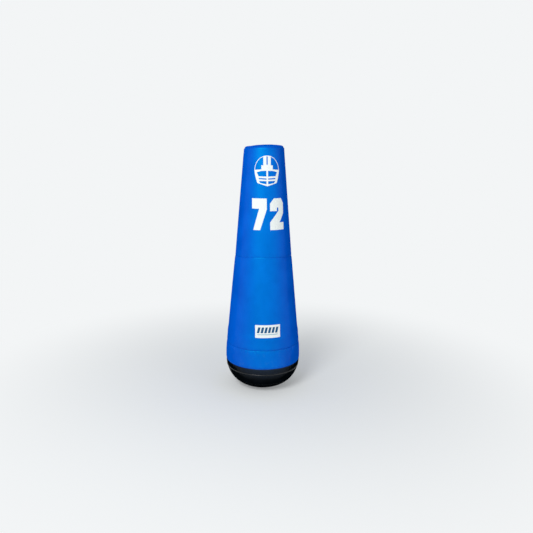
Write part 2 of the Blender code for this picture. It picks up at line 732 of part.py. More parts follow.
def build_zip(finish):
    """The rear zip, closed: tapes, coils, stops, and the slider with its pull at the top."""
    place = zip_place()
    low = zip_along(ZIP_LOW)
    high = zip_along(ZIP_HIGH)
    for side, sign in (("left", -1.0), ("right", 1.0)):
        near, far = sorted((sign * COIL_GAP / 2.0, sign * ZIP_TAPE_WIDTH))
        tape_low = ZIP_TAPE_TOP - ZIP_TAPE_WALL
        tape = block((near, low - 0.012, tape_low), (far, high + 0.012, ZIP_TAPE_TOP))
        add_solid(f"zip_tape_{side}", tape, finish["zip_tape"], place)
        near, far = sorted((sign * COIL_GAP / 2.0, sign * (COIL_GAP / 2.0 + COIL_WIDTH)))
        coil = block((near, low, COIL_BOTTOM), (far, high, COIL_TOP))
        add_solid(f"zip_coil_{side}", coil, finish["zip_coil"], place)

    coil_edge = COIL_GAP / 2.0 + COIL_WIDTH
    for name, start in (
        ("zip_bottom_stop", low - GAP - STOP_LENGTH),
        ("zip_top_stop", high + GAP),
    ):
        stop = block((-coil_edge, start, COIL_BOTTOM), (coil_edge, start + STOP_LENGTH, COIL_TOP))
        add_solid(name, stop, finish["zinc"], place)

    slider_place = place @ Matrix.Translation((0.0, high - SLIDER_LENGTH / 2.0, 0.0))
    half = SLIDER_HALF_WIDTH
    roof = COIL_TOP + GAP
    section = [
        (-half, SLIDER_TOP), (-half, SLIDER_TOP - SLIDER_DROP),
        (-half + SLIDER_FLANGE, SLIDER_TOP - SLIDER_DROP), (-half + SLIDER_FLANGE, roof),
        (half - SLIDER_FLANGE, roof), (half - SLIDER_FLANGE, SLIDER_TOP - SLIDER_DROP),
        (half, SLIDER_TOP - SLIDER_DROP), (half, SLIDER_TOP),
    ]
    body = plate([section], SLIDER_LENGTH)
    stand_up = Matrix.Rotation(math.radians(90.0), 4, "X")
    bmesh.ops.transform(
        body, verts=body.verts, matrix=Matrix.Translation((0, SLIDER_LENGTH / 2, 0)) @ stand_up
    )
    slider = add_solid("zip_slider", body, finish["zinc"], slider_place)
    arch = [
        (-BAIL_HALF_LENGTH, 0.0), (-BAIL_HALF_LENGTH + 0.0014, BAIL_HEIGHT),
        (BAIL_HALF_LENGTH - 0.0014, BAIL_HEIGHT), (BAIL_HALF_LENGTH, 0.0),
        (BAIL_HALF_LENGTH - BAIL_WALL, 0.0),
        (BAIL_HALF_LENGTH - 0.0014 - BAIL_WALL, BAIL_HEIGHT - BAIL_WALL),
        (-BAIL_HALF_LENGTH + 0.0014 + BAIL_WALL, BAIL_HEIGHT - BAIL_WALL),
        (-BAIL_HALF_LENGTH + BAIL_WALL, 0.0),
    ]
    bail = plate([arch], 2.0 * BAIL_HALF_WIDTH)
    turn = Matrix.Rotation(math.radians(90.0), 4, "Z") @ stand_up
    bmesh.ops.transform(
        bail, verts=bail.verts, matrix=Matrix.Translation((-BAIL_HALF_WIDTH, 0.0, 0.0)) @ turn
    )
    bail_tool = add_solid("bail_tool", bail, finish["zinc"], parent=slider)
    boolean(slider, bail_tool, "UNION")

    eye = 0.0030
    outline = [
        (-PULL_HALF_WIDTH, 0.0010), (PULL_HALF_WIDTH, 0.0010),
        (PULL_HALF_WIDTH, -PULL_LENGTH + 0.003), (PULL_HALF_WIDTH - 0.002, -PULL_LENGTH),
        (-PULL_HALF_WIDTH + 0.002, -PULL_LENGTH), (-PULL_HALF_WIDTH, -PULL_LENGTH + 0.003),
    ]
    hole = [(-eye, -0.0006), (eye, -0.0006), (eye, -0.0075), (-eye, -0.0075)]
    pull = plate([outline, hole], PULL_WALL)
    bmesh.ops.translate(pull, verts=pull.verts, vec=(0.0, 0.0, -PULL_WALL / 2.0))
    axis_place = Matrix.Translation((0.0, 0.0, PULL_AXIS_HEIGHT))
    add_solid("zip_pull", pull, finish["zinc"], axis_place, parent=slider)


def cover_drop(x, radius):
    """How far the round cover falls below its tangent plane at a distance to the side."""
    return radius - math.sqrt(radius * radius - x * x)


def curved_sheet(low, high, steps, wall, inner_height):
    """A bent sheet over a rectangle; inner_height gives its lower face, wall its thickness."""
    bm = bmesh.new()
    bmesh.ops.create_grid(bm, x_segments=steps[0], y_segments=steps[1], size=1.0)
    lower = bm.faces[:]
    bmesh.ops.reverse_faces(bm, faces=lower)
    grown = bmesh.ops.extrude_face_region(bm, geom=lower, use_keep_orig=True)
    upper = {item for item in grown["geom"] if isinstance(item, bmesh.types.BMVert)}
    for vertex in bm.verts:
        x = low[0] + (high[0] - low[0]) * (vertex.co.x + 1.0) / 2.0
        y = low[1] + (high[1] - low[1]) * (vertex.co.y + 1.0) / 2.0
        vertex.co = (x, y, inner_height(x, y) + (wall if vertex in upper else 0.0))
    bmesh.ops.recalc_face_normals(bm, faces=bm.faces)
    return bm


def build_valve(finish):
    """The inflation valve with its cap, the port in the cover, and the flap over it."""
    place = rear_place(VALVE_HEIGHT)
    plastic = finish["valve_plastic"]
    radius = cone_radius(VALVE_HEIGHT)

    port = [
        (PORT_BORE, -COVER_WALL - 0.0005), (PORT_HOLE - GAP, -COVER_WALL - 0.0005),
        (PORT_HOLE - GAP, 0.0006), (PORT_LIP, 0.0006), (PORT_LIP - 0.0008, 0.0026),
        (PORT_BORE, 0.0026),
    ]
    add_solid("port_ring", turned(port, TUBE_SIDES), plastic, place)

    base = [
        (COLLAR_BORE, NECK_END), (NECK_RADIUS, NECK_END), (NECK_RADIUS, FLANGE_BOTTOM),
        (FLANGE_RADIUS, FLANGE_BOTTOM), (FLANGE_RADIUS, FLANGE_TOP), (COLLAR_RADIUS, FLANGE_TOP),
        (COLLAR_RADIUS, COLLAR_TOP), (COLLAR_BORE, COLLAR_TOP),
    ]
    add_solid("valve_base", turned(base, TUBE_SIDES), plastic, place)

    seat_radius = COLLAR_BORE - GAP
    seat = [
        (SEAT_BORE, SEAT_BOTTOM), (seat_radius, SEAT_BOTTOM), (seat_radius, SEAT_TOP),
        (SEAT_BORE, SEAT_TOP),
    ]
    add_solid("valve_seat", turned(seat, TUBE_SIDES), plastic, place)

    half_wall = MEMBRANE_WALL / 2.0
    disc = [
        (0.0, -half_wall), (MEMBRANE_RADIUS, -half_wall), (MEMBRANE_RADIUS, half_wall),
        (0.0, half_wall),
    ]
    membrane = turned(disc, TUBE_SIDES)
    bmesh.ops.translate(membrane, verts=membrane.verts, vec=(0.0, -MEMBRANE_RADIUS, 0.0))
    hinge_height = SEAT_BOTTOM - GAP - half_wall
    membrane_place = place @ Matrix.Translation((0.0, MEMBRANE_RADIUS, hinge_height))
    add_solid("valve_membrane", membrane, finish["membrane_rubber"], membrane_place)

    cap_bore = COLLAR_RADIUS + CAP_CLEARANCE
    cap = [
        (0.0, COLLAR_TOP + GAP), (cap_bore, COLLAR_TOP + GAP), (cap_bore, CAP_SKIRT_END),
        (CAP_RADIUS, CAP_SKIRT_END), (CAP_RADIUS, CAP_TOP - 0.0010), (CAP_RADIUS - 0.0010, CAP_TOP),
        (0.0, CAP_TOP),
    ]
    cap_solid = add_solid("valve_cap", turned(cap, TUBE_SIDES), plastic, place)
    bar = block((-0.0130, -0.0018, CAP_TOP - 0.0010), (0.0130, 0.0018, CAP_TOP + CAP_BAR_HEIGHT))
    bar_tool = add_solid("cap_bar_tool", bar, plastic, parent=cap_solid)
    boolean(cap_solid, bar_tool, "UNION")

    def strip_height(x, y):
        return PRINT_LIFT - cover_drop(x, radius)

    def flap_height(x, y):
        share = (y - FLAP_BOTTOM) / (FLAP_TOP - FLAP_BOTTOM)
        edge = FLAP_GAP_BOTTOM + (FLAP_GAP_TOP - FLAP_GAP_BOTTOM) * share
        out = (math.hypot(x, y) - BULGE_FLAT) / (BULGE_END - BULGE_FLAT)
        out = min(max(out, 0.0), 1.0)
        bulge = BULGE_HEIGHT * (1.0 - out * out * (3.0 - 2.0 * out))
        return edge + bulge - cover_drop(x, radius)

    low = (-STRIP_HALF_WIDTH, STRIP_LOW)
    high = (STRIP_HALF_WIDTH, STRIP_HIGH)
    loop = curved_sheet(low, high, (6, 1), STRIP_WALL, strip_height)
    add_solid("cover_loop_strip", loop, finish["hook_fabric"], place)

    flap = curved_sheet(
        (-FLAP_HALF_WIDTH, FLAP_BOTTOM), (FLAP_HALF_WIDTH, FLAP_TOP), (8, 10), FLAP_WALL, flap_height
    )
    hinge = Matrix.Translation((0.0, FLAP_TOP, FLAP_HINGE_LIFT))
    bmesh.ops.transform(flap, verts=flap.verts, matrix=hinge.inverted())
    flap_solid = add_solid("valve_flap", flap, finish["blue_vinyl"], place @ hinge)

    hook_lift = STRIP_WALL + GAP
    hook = curved_sheet(low, high, (6, 1), STRIP_WALL, lambda x, y: strip_height(x, y) + hook_lift)
    bmesh.ops.transform(hook, verts=hook.verts, matrix=hinge.inverted())
    add_solid("flap_hook_strip", hook, finish["hook_fabric"], parent=flap_solid)


def main():
    clear_scene()
    finish = make_materials()
    build_cover(finish)
    build_boot(finish)
    build_lid(finish, build_tub(finish))
    build_bladder(finish)
    build_prints(finish)
    build_zip(finish)
    build_valve(finish)


main()
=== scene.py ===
"""Looks of a pop-up tackling dummy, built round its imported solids.

The cover, the boot and the inner soft parts are made here as sewn cloth: tubes of coated
fabric that are blown out by a cloth simulation between their seams, so that they pucker
there, with stitching, prints and a label laid on the result.
"""

import math
from math import atan2, cos, hypot, pi, radians, sin, sqrt, tau

import bmesh
import bpy
import numpy as np
from mathutils import Matrix, Vector, noise
from mathutils.bvhtree import BVHTree


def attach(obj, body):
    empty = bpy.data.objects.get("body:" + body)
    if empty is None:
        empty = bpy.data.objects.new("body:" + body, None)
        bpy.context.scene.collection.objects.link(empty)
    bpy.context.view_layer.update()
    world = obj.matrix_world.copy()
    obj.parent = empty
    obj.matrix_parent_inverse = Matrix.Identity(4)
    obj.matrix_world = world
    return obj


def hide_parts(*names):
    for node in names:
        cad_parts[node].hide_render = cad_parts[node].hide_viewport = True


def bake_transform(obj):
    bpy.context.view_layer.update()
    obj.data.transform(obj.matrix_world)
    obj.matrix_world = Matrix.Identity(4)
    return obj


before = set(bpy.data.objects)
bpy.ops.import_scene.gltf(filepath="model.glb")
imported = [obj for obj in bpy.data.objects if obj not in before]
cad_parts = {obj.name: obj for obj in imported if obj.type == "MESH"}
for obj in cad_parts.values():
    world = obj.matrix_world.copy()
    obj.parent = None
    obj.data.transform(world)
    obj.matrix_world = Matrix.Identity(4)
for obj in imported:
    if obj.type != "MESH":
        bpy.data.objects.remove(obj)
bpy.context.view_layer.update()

# Outline of the inflated cover in metres, the same as in the solids
HEIGHT = 1.829
BELLY_RADIUS = 0.2835
BELLY_HEIGHT = 0.25
BOWL_DEPTH = 0.26
BOWL_POWER = 2.45
LOWER_CONE_HEIGHT = 0.50
LOWER_CONE_RADIUS = 0.2615
LOWER_SLOPE = 0.0965
UPPER_SLOPE = 0.0835
SHOULDER_RADIUS = 0.027
SHOULDER_HEIGHT = 1.796
SHOULDER_START = math.atan(UPPER_SLOPE)
CROWN_EDGE_ANGLE = radians(84.0)
CAP_SEAM_ANGLE = radians(35.0)
HEM_HEIGHT = 0.2105
WELT_HEIGHT = 0.1646
WELT_RADIUS = 0.0032
LOW_SEAM_HEIGHT = 0.3514
MID_SEAM_HEIGHT = 1.035
FOOT_DROP = 0.0006
FOOT_SEAM_INSET = 0.010
SOLE_SEAM_HEIGHT = 0.068
GAP = 0.0004
# Where the seams pull the cover in and the tub's rim pushes it out: height, depth, reach
PULLS = (
    (HEM_HEIGHT, 0.0015, 0.010),
    (LOW_SEAM_HEIGHT, 0.0020, 0.014),
    (MID_SEAM_HEIGHT, 0.0012, 0.022),
    (0.437, -0.0020, 0.022),
)

# The parts inside
TAPE_DEPTH = 0.0034
TOP_TAPE_DEPTH = 0.0042
TAPE_WALL = 0.0009
TAPE_HALF_WIDTH = 0.010
BLADDER_DEPTH = 0.0066
BLADDER_WALL = 0.0012
BLADDER_CORNER = 0.030
LID_TOP = 0.4363
PAD_RADIUS = 0.2200
PAD_HOLE = 0.0460
PAD_TOP = 0.4567
NECK_RADIUS = 0.0103

# The sewn cloth: its thickness, and how it sinks into a seam
CLOTH_WALL = 0.0014
CREASE = 0.0014
CREASE_REACH = 0.0030
SLIT_ROLL = 0.0028
SLIT_ROLL_REACH = 0.0024
SLIT_CLEARANCE = 0.0003
PRESSURE = 4.0
CLOTH_FRAMES = 20
PUCKER_LIMIT = 0.0022
POLE_REACH = 0.060
UNEVEN = 0.0003
UNEVEN_SIZE = 0.012
FLOOR_CLEARANCE = 0.0002
EDGE_STEPS = (0.0, 0.0009, 0.0020, 0.0034, 0.0052, 0.0076, 0.0106, 0.0144, 0.0192, 0.0252, 0.0330)
COLUMNS = 400
INNER_COLUMNS = 240
REAR_PITCH = 0.0036
REAR_COLUMNS = 8
STITCH_PITCH = 0.0052
STITCH_LENGTH = 0.0040
STITCH_BESIDE = 0.0058

# The photographed cover leans into the view's left at its crown and its middle seam dips
VIEW_TURN = radians(-13.3)
SEAM_DIP = 0.018
SEAM_DIP_REACH = 0.110
CROWN_SAG = 0.0085

# The photograph is turned a little about its middle
CAMERA_ROLL = radians(0.45)
BACKDROP = "#f3f5f6"

# Rear zip and inflation valve
ZIP_LOW = 0.530
ZIP_HIGH = 0.975
SLIT_HALF_WIDTH = 0.0072
SLIT_END = 0.0080
COIL_WIDTH = 0.0032
COIL_TOP = -0.0012
COIL_BOTTOM = -0.0042
COIL_PITCH = 0.0023
ZIP_TAPE_WIDTH = 0.0160
ZIP_TAPE_TOP = -0.0046
ZIP_TAPE_WALL = 0.0008
SLIDER_LENGTH = 0.0130
SLIDER_HALF_WIDTH = 0.0058
SLIDER_TOP = 0.0012
SLIDER_DROP = 0.0052
BAIL_HALF_LENGTH = 0.0052
BAIL_HEIGHT = 0.0052
PULL_LENGTH = 0.0320
PULL_HALF_WIDTH = 0.0045
PULL_WALL = 0.0012
PULL_AXIS_HEIGHT = 0.0026
STOP_LENGTH = 0.0040
VALVE_HEIGHT = 1.180
PORT_HOLE = 0.0205
PORT_BORE = 0.0175
PORT_LIP = 0.0260
COLLAR_RADIUS = 0.0135
COLLAR_BORE = 0.0090
COLLAR_TOP = 0.0070
NECK_END = -0.0135
FLANGE_RADIUS = 0.0190
FLANGE_TOP = -0.0047
FLANGE_BOTTOM = -0.0062
CAP_RADIUS = 0.0165
CAP_BORE = 0.0139
CAP_SKIRT_END = 0.0032
CAP_TOP = 0.0096
CAP_BAR_HEIGHT = 0.0028
FLAP_TOP = 0.0500
FLAP_BOTTOM = -0.0620
FLAP_HALF_WIDTH = 0.0460
FLAP_WALL = 0.0016
FLAP_GAP_TOP = 0.0010
FLAP_GAP_BOTTOM = 0.0036
FLAP_MARGIN = 0.0120
FLAP_CORNER = 0.0140
BULGE_HEIGHT = 0.0135
BULGE_FLAT = 0.0175
BULGE_END = 0.0410
STRIP_HALF_WIDTH = 0.0320
STRIP_LOW = -0.0590
STRIP_HIGH = -0.0450
STRIP_WALL = 0.0009
STRIP_LIFT = 0.0005

# Prints and label on the front
HELMET_MIDDLE = -0.0140
HELMET_BASE = 1.5405
HELMET_HALF_WIDTH = 0.092
HELMET_HEIGHT = 0.2125
DIGIT_BASE = 1.2315
DIGIT_HEIGHT = 0.2235
SEVEN_LEFT = -0.1275
SEVEN_WIDTH = 0.1075
TWO_LEFT = 0.0035
TWO_WIDTH = 0.1140
LABEL_TURN = radians(-5.3)
LABEL_MIDDLE = 0.498
LABEL_WIDTH = 0.187
LABEL_HEIGHT = 0.094


def steps(low, high, count):
    """Evenly spaced values from low to high, both included."""
    return [low + (high - low) * index / count for index in range(count + 1)]


def ease(value):
    """A smooth step from 0 to 1."""
    t = min(max(value, 0.0), 1.0)
    return t * t * (3.0 - 2.0 * t)


def bell(distance, reach):
    """A smooth falloff, 1 at no distance."""
    return math.exp(-((distance / reach) ** 2))


def arc(x, y, radius, low, high, count):
    """Points round an arc between two angles in degrees."""
    angles = steps(radians(low), radians(high), count)
    return [(x + radius * cos(angle), y + radius * sin(angle)) for angle in angles]


def rounded(left, bottom, right, top, corner, count=5):
    """Outline of a rectangle with rounded corners."""
    outline = []
    for x, y, start in (
        (right - corner, top - corner, 0.0), (left + corner, top - corner, 90.0),
        (left + corner, bottom + corner, 180.0), (right - corner, bottom + corner, 270.0),
    ):
        outline += arc(x, y, corner, start, start + 90.0, count)
    return outline


def cone_radius(height):
    """Radius of the two cone panels above the belly."""
    lower = min(height, MID_SEAM_HEIGHT)
    radius = LOWER_CONE_RADIUS - LOWER_SLOPE * (lower - LOWER_CONE_HEIGHT)
    return radius - UPPER_SLOPE * (height - lower)


def outline_radius(height):
    """Outer radius of the inflated cover below its shoulder."""
    if height < BELLY_HEIGHT:
        depth = (BELLY_HEIGHT - height) / BOWL_DEPTH
        radius = BELLY_RADIUS * (1.0 - depth ** BOWL_POWER) ** (1.0 / BOWL_POWER)
    elif height < LOWER_CONE_HEIGHT:
        span = LOWER_CONE_HEIGHT - BELLY_HEIGHT
        t = (height - BELLY_HEIGHT) / span
        radius = BELLY_RADIUS * (1.0 - ease(t)) + LOWER_CONE_RADIUS * ease(t)
        radius -= LOWER_SLOPE * span * t * t * (t - 1.0)
    else:
        radius = cone_radius(height)
    for place, depth, reach in PULLS:
        radius -= depth * bell(height - place, reach)
    return radius


def wall_line(low, high, count):
    """Evenly spaced outline points between two heights."""
    return [(outline_radius(height), height) for height in steps(low, high, count)]


def shoulder_line(low, high, count):
    """Points on the shoulder's arc between two angles above the horizontal."""
    start_height = SHOULDER_HEIGHT + SHOULDER_RADIUS * sin(SHOULDER_START)
    centre = cone_radius(start_height) - SHOULDER_RADIUS * cos(SHOULDER_START)
    return [
        (centre + SHOULDER_RADIUS * cos(angle), SHOULDER_HEIGHT + SHOULDER_RADIUS * sin(angle))
        for angle in steps(low, high, count)
    ]


def crown_line(count):
    """Points on the low dome, from the shoulder's end to the axis."""
    edge_radius, edge_height = shoulder_line(CROWN_EDGE_ANGLE, CROWN_EDGE_ANGLE, 1)[0]
    radii = [edge_radius * (1.0 - index / count) for index in range(1, count + 1)]
    rise = HEIGHT - edge_height
    return [(radius, HEIGHT - rise * (radius / edge_radius) ** 2) for radius in radii]


def bowl_line(low, high, count):
    """Points on the bowl between two heights, spaced evenly round its curve."""
    ends = [
        math.asin(((BELLY_HEIGHT - height) / BOWL_DEPTH) ** (BOWL_POWER / 2.0))
        for height in (low, high)
    ]
    depths = [BOWL_DEPTH * sin(turn) ** (2.0 / BOWL_POWER) for turn in steps(*ends, count)]
    return [(outline_radius(BELLY_HEIGHT - depth), BELLY_HEIGHT - depth) for depth in depths]


def lengths_along(line):
    """Distance along a line to each of its points."""
    lengths = [0.0]
    for a, b in zip(line, line[1:]):
        lengths.append(lengths[-1] + math.dist(a, b))
    return lengths


def stretch_at(lengths, distance):
    """The stretch of a line that a distance along it falls on, and the share of it passed."""
    index = min(max(int(np.searchsorted(lengths, distance)) - 1, 0), len(lengths) - 2)
    return index, (distance - lengths[index]) / max(lengths[index + 1] - lengths[index], 1e-9)


def sewn_path(line, step, low_seam=True, high_seam=True, creases=()):
    """Points along a line, close together beside its seams and sunk into them."""
    lengths = lengths_along(line)
    whole = lengths[-1]
    places = list(EDGE_STEPS) if low_seam else [0.0]
    ends = [whole - edge for edge in reversed(EDGE_STEPS)] if high_seam else [whole]
    count = max(1, round((ends[0] - places[-1]) / step))
    places += steps(places[-1], ends[0], count)[1:-1] + ends
    seams = [0.0] * low_seam + [whole] * high_seam + list(creases)
    path = []
    for place in places:
        index, share = stretch_at(lengths, place)
        a, b = Vector(line[index]), Vector(line[index + 1])
        along = (b - a).normalized()
        depth = sum(CREASE * bell(place - seam, CREASE_REACH) for seam in seams)
        point = a.lerp(b, share) + depth * Vector((-along.y, along.x))
        path.append((max(point.x, 0.0), point.y))
    return path


def column_angle(column, columns, radius, rear_columns):
    """Angle of a column from the rear; those beside the rear keep their distance from it."""
    signed = column if column <= columns // 2 else column - columns
    edge = math.asin(min(rear_columns * REAR_PITCH / max(radius, REAR_PITCH), 0.9))
    if abs(signed) < rear_columns:
        return edge * signed / rear_columns
    share = (abs(signed) - rear_columns) / (columns // 2 - rear_columns)
    return math.copysign(edge + (pi - edge) * share, signed)


def lean_into_view(point):
    """The photographed cover's dip of the middle seam and sag of the crown's left side."""
    around = atan2(point.x, -point.y) - VIEW_TURN
    drop = SEAM_DIP * bell(point.z - MID_SEAM_HEIGHT, SEAM_DIP_REACH) * sin(around) ** 2
    radius = hypot(point.x, point.y)
    side = max(-sin(around), 0.0) ** 1.5 * min(radius / 0.10, 1.0)
    up = min(max((point.z - 1.72) / 0.08, 0.0), 1.0)
    sag = CROWN_SAG * side * up * up * (3.0 - 2.0 * up)
    spread = 1.0 + UPPER_SLOPE * drop / max(radius, 1e-6)
    point = Vector((point.x * spread, point.y * spread, point.z))
    return point - Vector((0.0, 0.0, drop + sag))


def tube(path, columns=COLUMNS, rear_columns=REAR_COLUMNS):
    """A tube of cloth through a path of (radius, height) points; its UV map is in metres."""
    bm = bmesh.new()
    rows = len(path) - 1
    bmesh.ops.create_grid(bm, x_segments=columns, y_segments=rows, size=1.0)
    lengths = lengths_along(path)
    girth = tau * max(radius for radius, _ in path)
    uv = bm.loops.layers.uv.new("cloth")
    for face in bm.faces:
        for loop in face.loops:
            across, up = ((share + 1.0) / 2.0 for share in loop.vert.co.xy)
            loop[uv].uv = (across * girth, lengths[round(up * rows)])
    row_mark = bm.verts.layers.int.new("row")
    for vertex in bm.verts:
        across, up = ((share + 1.0) / 2.0 for share in vertex.co.xy)
        vertex[row_mark] = round(up * rows)
        radius, height = path[vertex[row_mark]]
        angle = column_angle(round(across * columns), columns, radius, rear_columns)
        if rear_columns and cos(angle) > 0.0:
            radius -= CREASE * bell(radius * sin(angle), CREASE_REACH)
        vertex.co = lean_into_view(Vector((radius * sin(angle), radius * cos(angle), height)))
    bmesh.ops.remove_doubles(bm, verts=bm.verts, dist=1e-6)
    bmesh.ops.recalc_face_normals(bm, faces=bm.faces)
    spots = [(face.calc_center_median(), face.normal * face.calc_area()) for face in bm.faces]
    middle = sum((spot for spot, _ in spots), Vector()) / len(spots)
    if sum(normal.dot(spot - middle) for spot, normal in spots) < 0.0:
        bmesh.ops.reverse_faces(bm, faces=bm.faces)
    return bm


def bent_sheet(columns, rows, place, wall):
    """A sheet of cloth: place gives the upper face's point for a point of the unit square."""
    bm = bmesh.new()
    bmesh.ops.create_grid(bm, x_segments=columns, y_segments=rows, size=1.0)
    for vertex in bm.verts:
        vertex.co = place((vertex.co.x + 1.0) / 2.0, (vertex.co.y + 1.0) / 2.0)
    bm.normal_update()
    if sum(face.normal.z for face in bm.faces) < 0.0:
        bmesh.ops.reverse_faces(bm, faces=bm.faces)
    uv = bm.loops.layers.uv.new("cloth")
    for face in bm.faces:
        for loop in face.loops:
            loop[uv].uv = loop.vert.co.xy
    bmesh.ops.solidify(bm, geom=bm.faces[:], thickness=wall)
    return bm


def plate(outlines, wall, step):
    """A flat plate in XY from an outline and its holes, sliced so that it can be bent."""
    curve = bpy.data.curves.new("outline", "CURVE")
    curve.dimensions = "2D"
    curve.fill_mode = "BOTH"
    curve.extrude = wall / 2.0
    for outline in outlines:
        spline = curve.splines.new("POLY")
        spline.points.add(len(outline) - 1)
        for point, (x, y) in zip(spline.points, outline):
            point.co = (x, y, wall / 2.0, 1.0)
        spline.use_cyclic_u = True
    holder = bpy.data.objects.new("outline", curve)
    bpy.context.scene.collection.objects.link(holder)
    bpy.context.view_layer.update()
    mesh = bpy.data.meshes.new_from_object(holder)
    bm = bmesh.new()
    bm.from_mesh(mesh)
    bpy.data.objects.remove(holder)
    bpy.data.meshes.remove(mesh)
    bmesh.ops.remove_doubles(bm, verts=bm.verts, dist=1e-6)
    lowest = min(vertex.co.z for vertex in bm.verts)
    bmesh.ops.translate(bm, verts=bm.verts, vec=(0.0, 0.0, -lowest))
    for axis in (0, 1):
        low, high = (limit(vertex.co[axis] for vertex in bm.verts) for limit in (min, max))
        normal = Vector((1.0 - axis, axis, 0.0))
        for place in steps(low, high, math.ceil((high - low) / step))[1:-1]:
            bmesh.ops.bisect_plane(
                bm, geom=[*bm.verts, *bm.edges, *bm.faces], dist=1e-6, plane_co=normal * place,
                plane_no=normal,
            )
    bmesh.ops.recalc_face_normals(bm, faces=bm.faces)
    return bm


def turned(profile, sides=72):
    """Spin a profile of (radius, height) points about Z into a closed bmesh."""
    bm = bmesh.new()
    points = [bm.verts.new((radius, 0.0, height)) for radius, height in profile]
    edges = [bm.edges.new(pair) for pair in zip(points, points[1:])]
    if profile[0][0] > 0.0 or profile[-1][0] > 0.0:
        edges.append(bm.edges.new((points[-1], points[0])))
    bmesh.ops.spin(
        bm, geom=points + edges, cent=(0.0, 0.0, 0.0), axis=(0.0, 0.0, 1.0), angle=tau,
        steps=sides, use_merge=True,
    )
    bmesh.ops.remove_doubles(bm, verts=bm.verts, dist=1e-6)
    bmesh.ops.recalc_face_normals(bm, faces=bm.faces)
    return bm


def block(low, high, bevel, segments=3):
    """A closed box between two corners with bevelled edges."""
    bm = bmesh.new()
    low, high = Vector(low), Vector(high)
    place = Matrix.Translation((low + high) / 2.0) @ Matrix.Diagonal((*(high - low), 1.0))
    bmesh.ops.create_cube(bm, size=1.0, matrix=place)
    return round_edges(bm, bevel, segments)


def round_edges(bm, radius, segments):
    """Bevel the sharp edges."""
    sharp = [
        edge for edge in bm.edges
        if len(edge.link_faces) == 2 and edge.calc_face_angle() > radians(30.0)
    ]
    bmesh.ops.bevel(
        bm, geom=sharp, offset=radius, segments=segments, affect="EDGES", profile=0.5,
        material=-1, clamp_overlap=True,
    )
    return bm


def joined(parts):
    """Several bmeshes as one."""
    whole = bmesh.new()
    for part in parts:
        mesh = bpy.data.meshes.new("part")
        part.to_mesh(mesh)
        part.free()
        whole.from_mesh(mesh)
        bpy.data.meshes.remove(mesh)
    return whole


def make_object(name, bm, material):
    """A smooth-shaded object at the origin from a bmesh."""
    mesh = bpy.data.meshes.new(name)
    bm.to_mesh(mesh)
    bm.free()
    mesh.materials.append(material)
    mesh.shade_smooth()
    piece = bpy.data.objects.new(name, mesh)
    bpy.context.scene.collection.objects.link(piece)
    return piece


def finish_piece(piece, body, nodes=(), sharp=None):
    """Let a finished piece ride on its body and stand for the solids that it replaces."""
    if sharp is not None:
        piece.data.set_sharp_from_angle(angle=radians(sharp))
    if body is not None:
        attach(piece, body)
    if nodes:
        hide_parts(*nodes)
    return piece


def add_part(name, bm, material, nodes=(), sharp=None, body="dummy", place=None):
    """Move a bmesh from its own frame into place and finish it as a piece."""
    if place is not None:
        bmesh.ops.transform(bm, verts=bm.verts, matrix=place)
    return finish_piece(make_object(name, bm, material), body, nodes, sharp)


def rear_place(height):
    """Frame on the rear of the cover: local Z outwards, local Y up the cone, origin on it."""
    slope = LOWER_SLOPE if height < MID_SEAM_HEIGHT else UPPER_SLOPE
    spot = Matrix.Translation((0.0, cone_radius(height), height))
    tilt = Matrix.Rotation(math.atan(slope) - radians(90.0), 4, "X")
    return spot @ tilt @ Matrix.Rotation(pi, 4, "Z")


ZIP_PLACE = rear_place((ZIP_LOW + ZIP_HIGH) / 2.0)
ZIP_END = (ZIP_HIGH - ZIP_LOW) / 2.0 * sqrt(1.0 + LOWER_SLOPE ** 2)
ZIP_START = -ZIP_END
ZIP_UNPLACE = ZIP_PLACE.inverted()
VALVE_PLACE = rear_place(VALVE_HEIGHT)
VALVE_UNPLACE = VALVE_PLACE.inverted()


def linear(colour):
    """An sRGB hex colour as linear RGBA."""
    channels = [int(colour[start:start + 2], 16) / 255.0 for start in (1, 3, 5)]
    return (*(c / 12.92 if c <= 0.04045 else ((c + 0.055) / 1.055) ** 2.4 for c in channels), 1.0)


def add_node(tree, kind, inputs, output=0, **settings):
    """Add a node and return one of its outputs.

    An input is a value, a hex colour, or the output of another node, which is linked.
    """
    node = tree.nodes.new("ShaderNode" + kind)
    for name, value in settings.items():
        setattr(node, name, value)
    for name, value in inputs.items():
        if isinstance(value, bpy.types.NodeSocket):
            tree.links.new(value, node.inputs[name])
        elif isinstance(value, str):
            node.inputs[name].default_value = linear(value)
        else:
            node.inputs[name].default_value = value
    return node.outputs[output]


def patches(tree, place, size, edges, detail=3.0, values=(0.0, 1.0), coarse=0.55):
    """Cloudy patches about a size in metres, from one value to another between two edges."""
    cloud = add_node(
        tree, "TexNoise",
        {"Vector": place, "Scale": 1.0 / size, "Detail": detail, "Roughness": coarse},
    )
    return add_node(
        tree, "MapRange", {0: cloud, 1: edges[0], 2: edges[1], 3: values[0], 4: values[1]}
    )


def threads(tree, place, spacing):
    """Crossed ridges of a woven cloth, a thread spacing in metres apart."""
    inputs = {"Vector": place, "Scale": tau / (20.0 * spacing)}
    ridges = [
        add_node(tree, "TexWave", inputs, "Fac", bands_direction=direction)
        for direction in ("X", "Y")
    ]
    return add_node(tree, "Math", {0: ridges[0], 1: ridges[1]}, operation="MAXIMUM")


def relief(tree, shader, *layers):
    """Bump from (height, real depth in metres, strength) layers, one on another."""
    inputs = {}
    for height, depth, strength in layers:
        inputs.update({"Height": height, "Distance": depth, "Strength": strength})
        inputs["Normal"] = add_node(tree, "Bump", inputs)
    tree.links.new(inputs["Normal"], shader.inputs["Normal"])


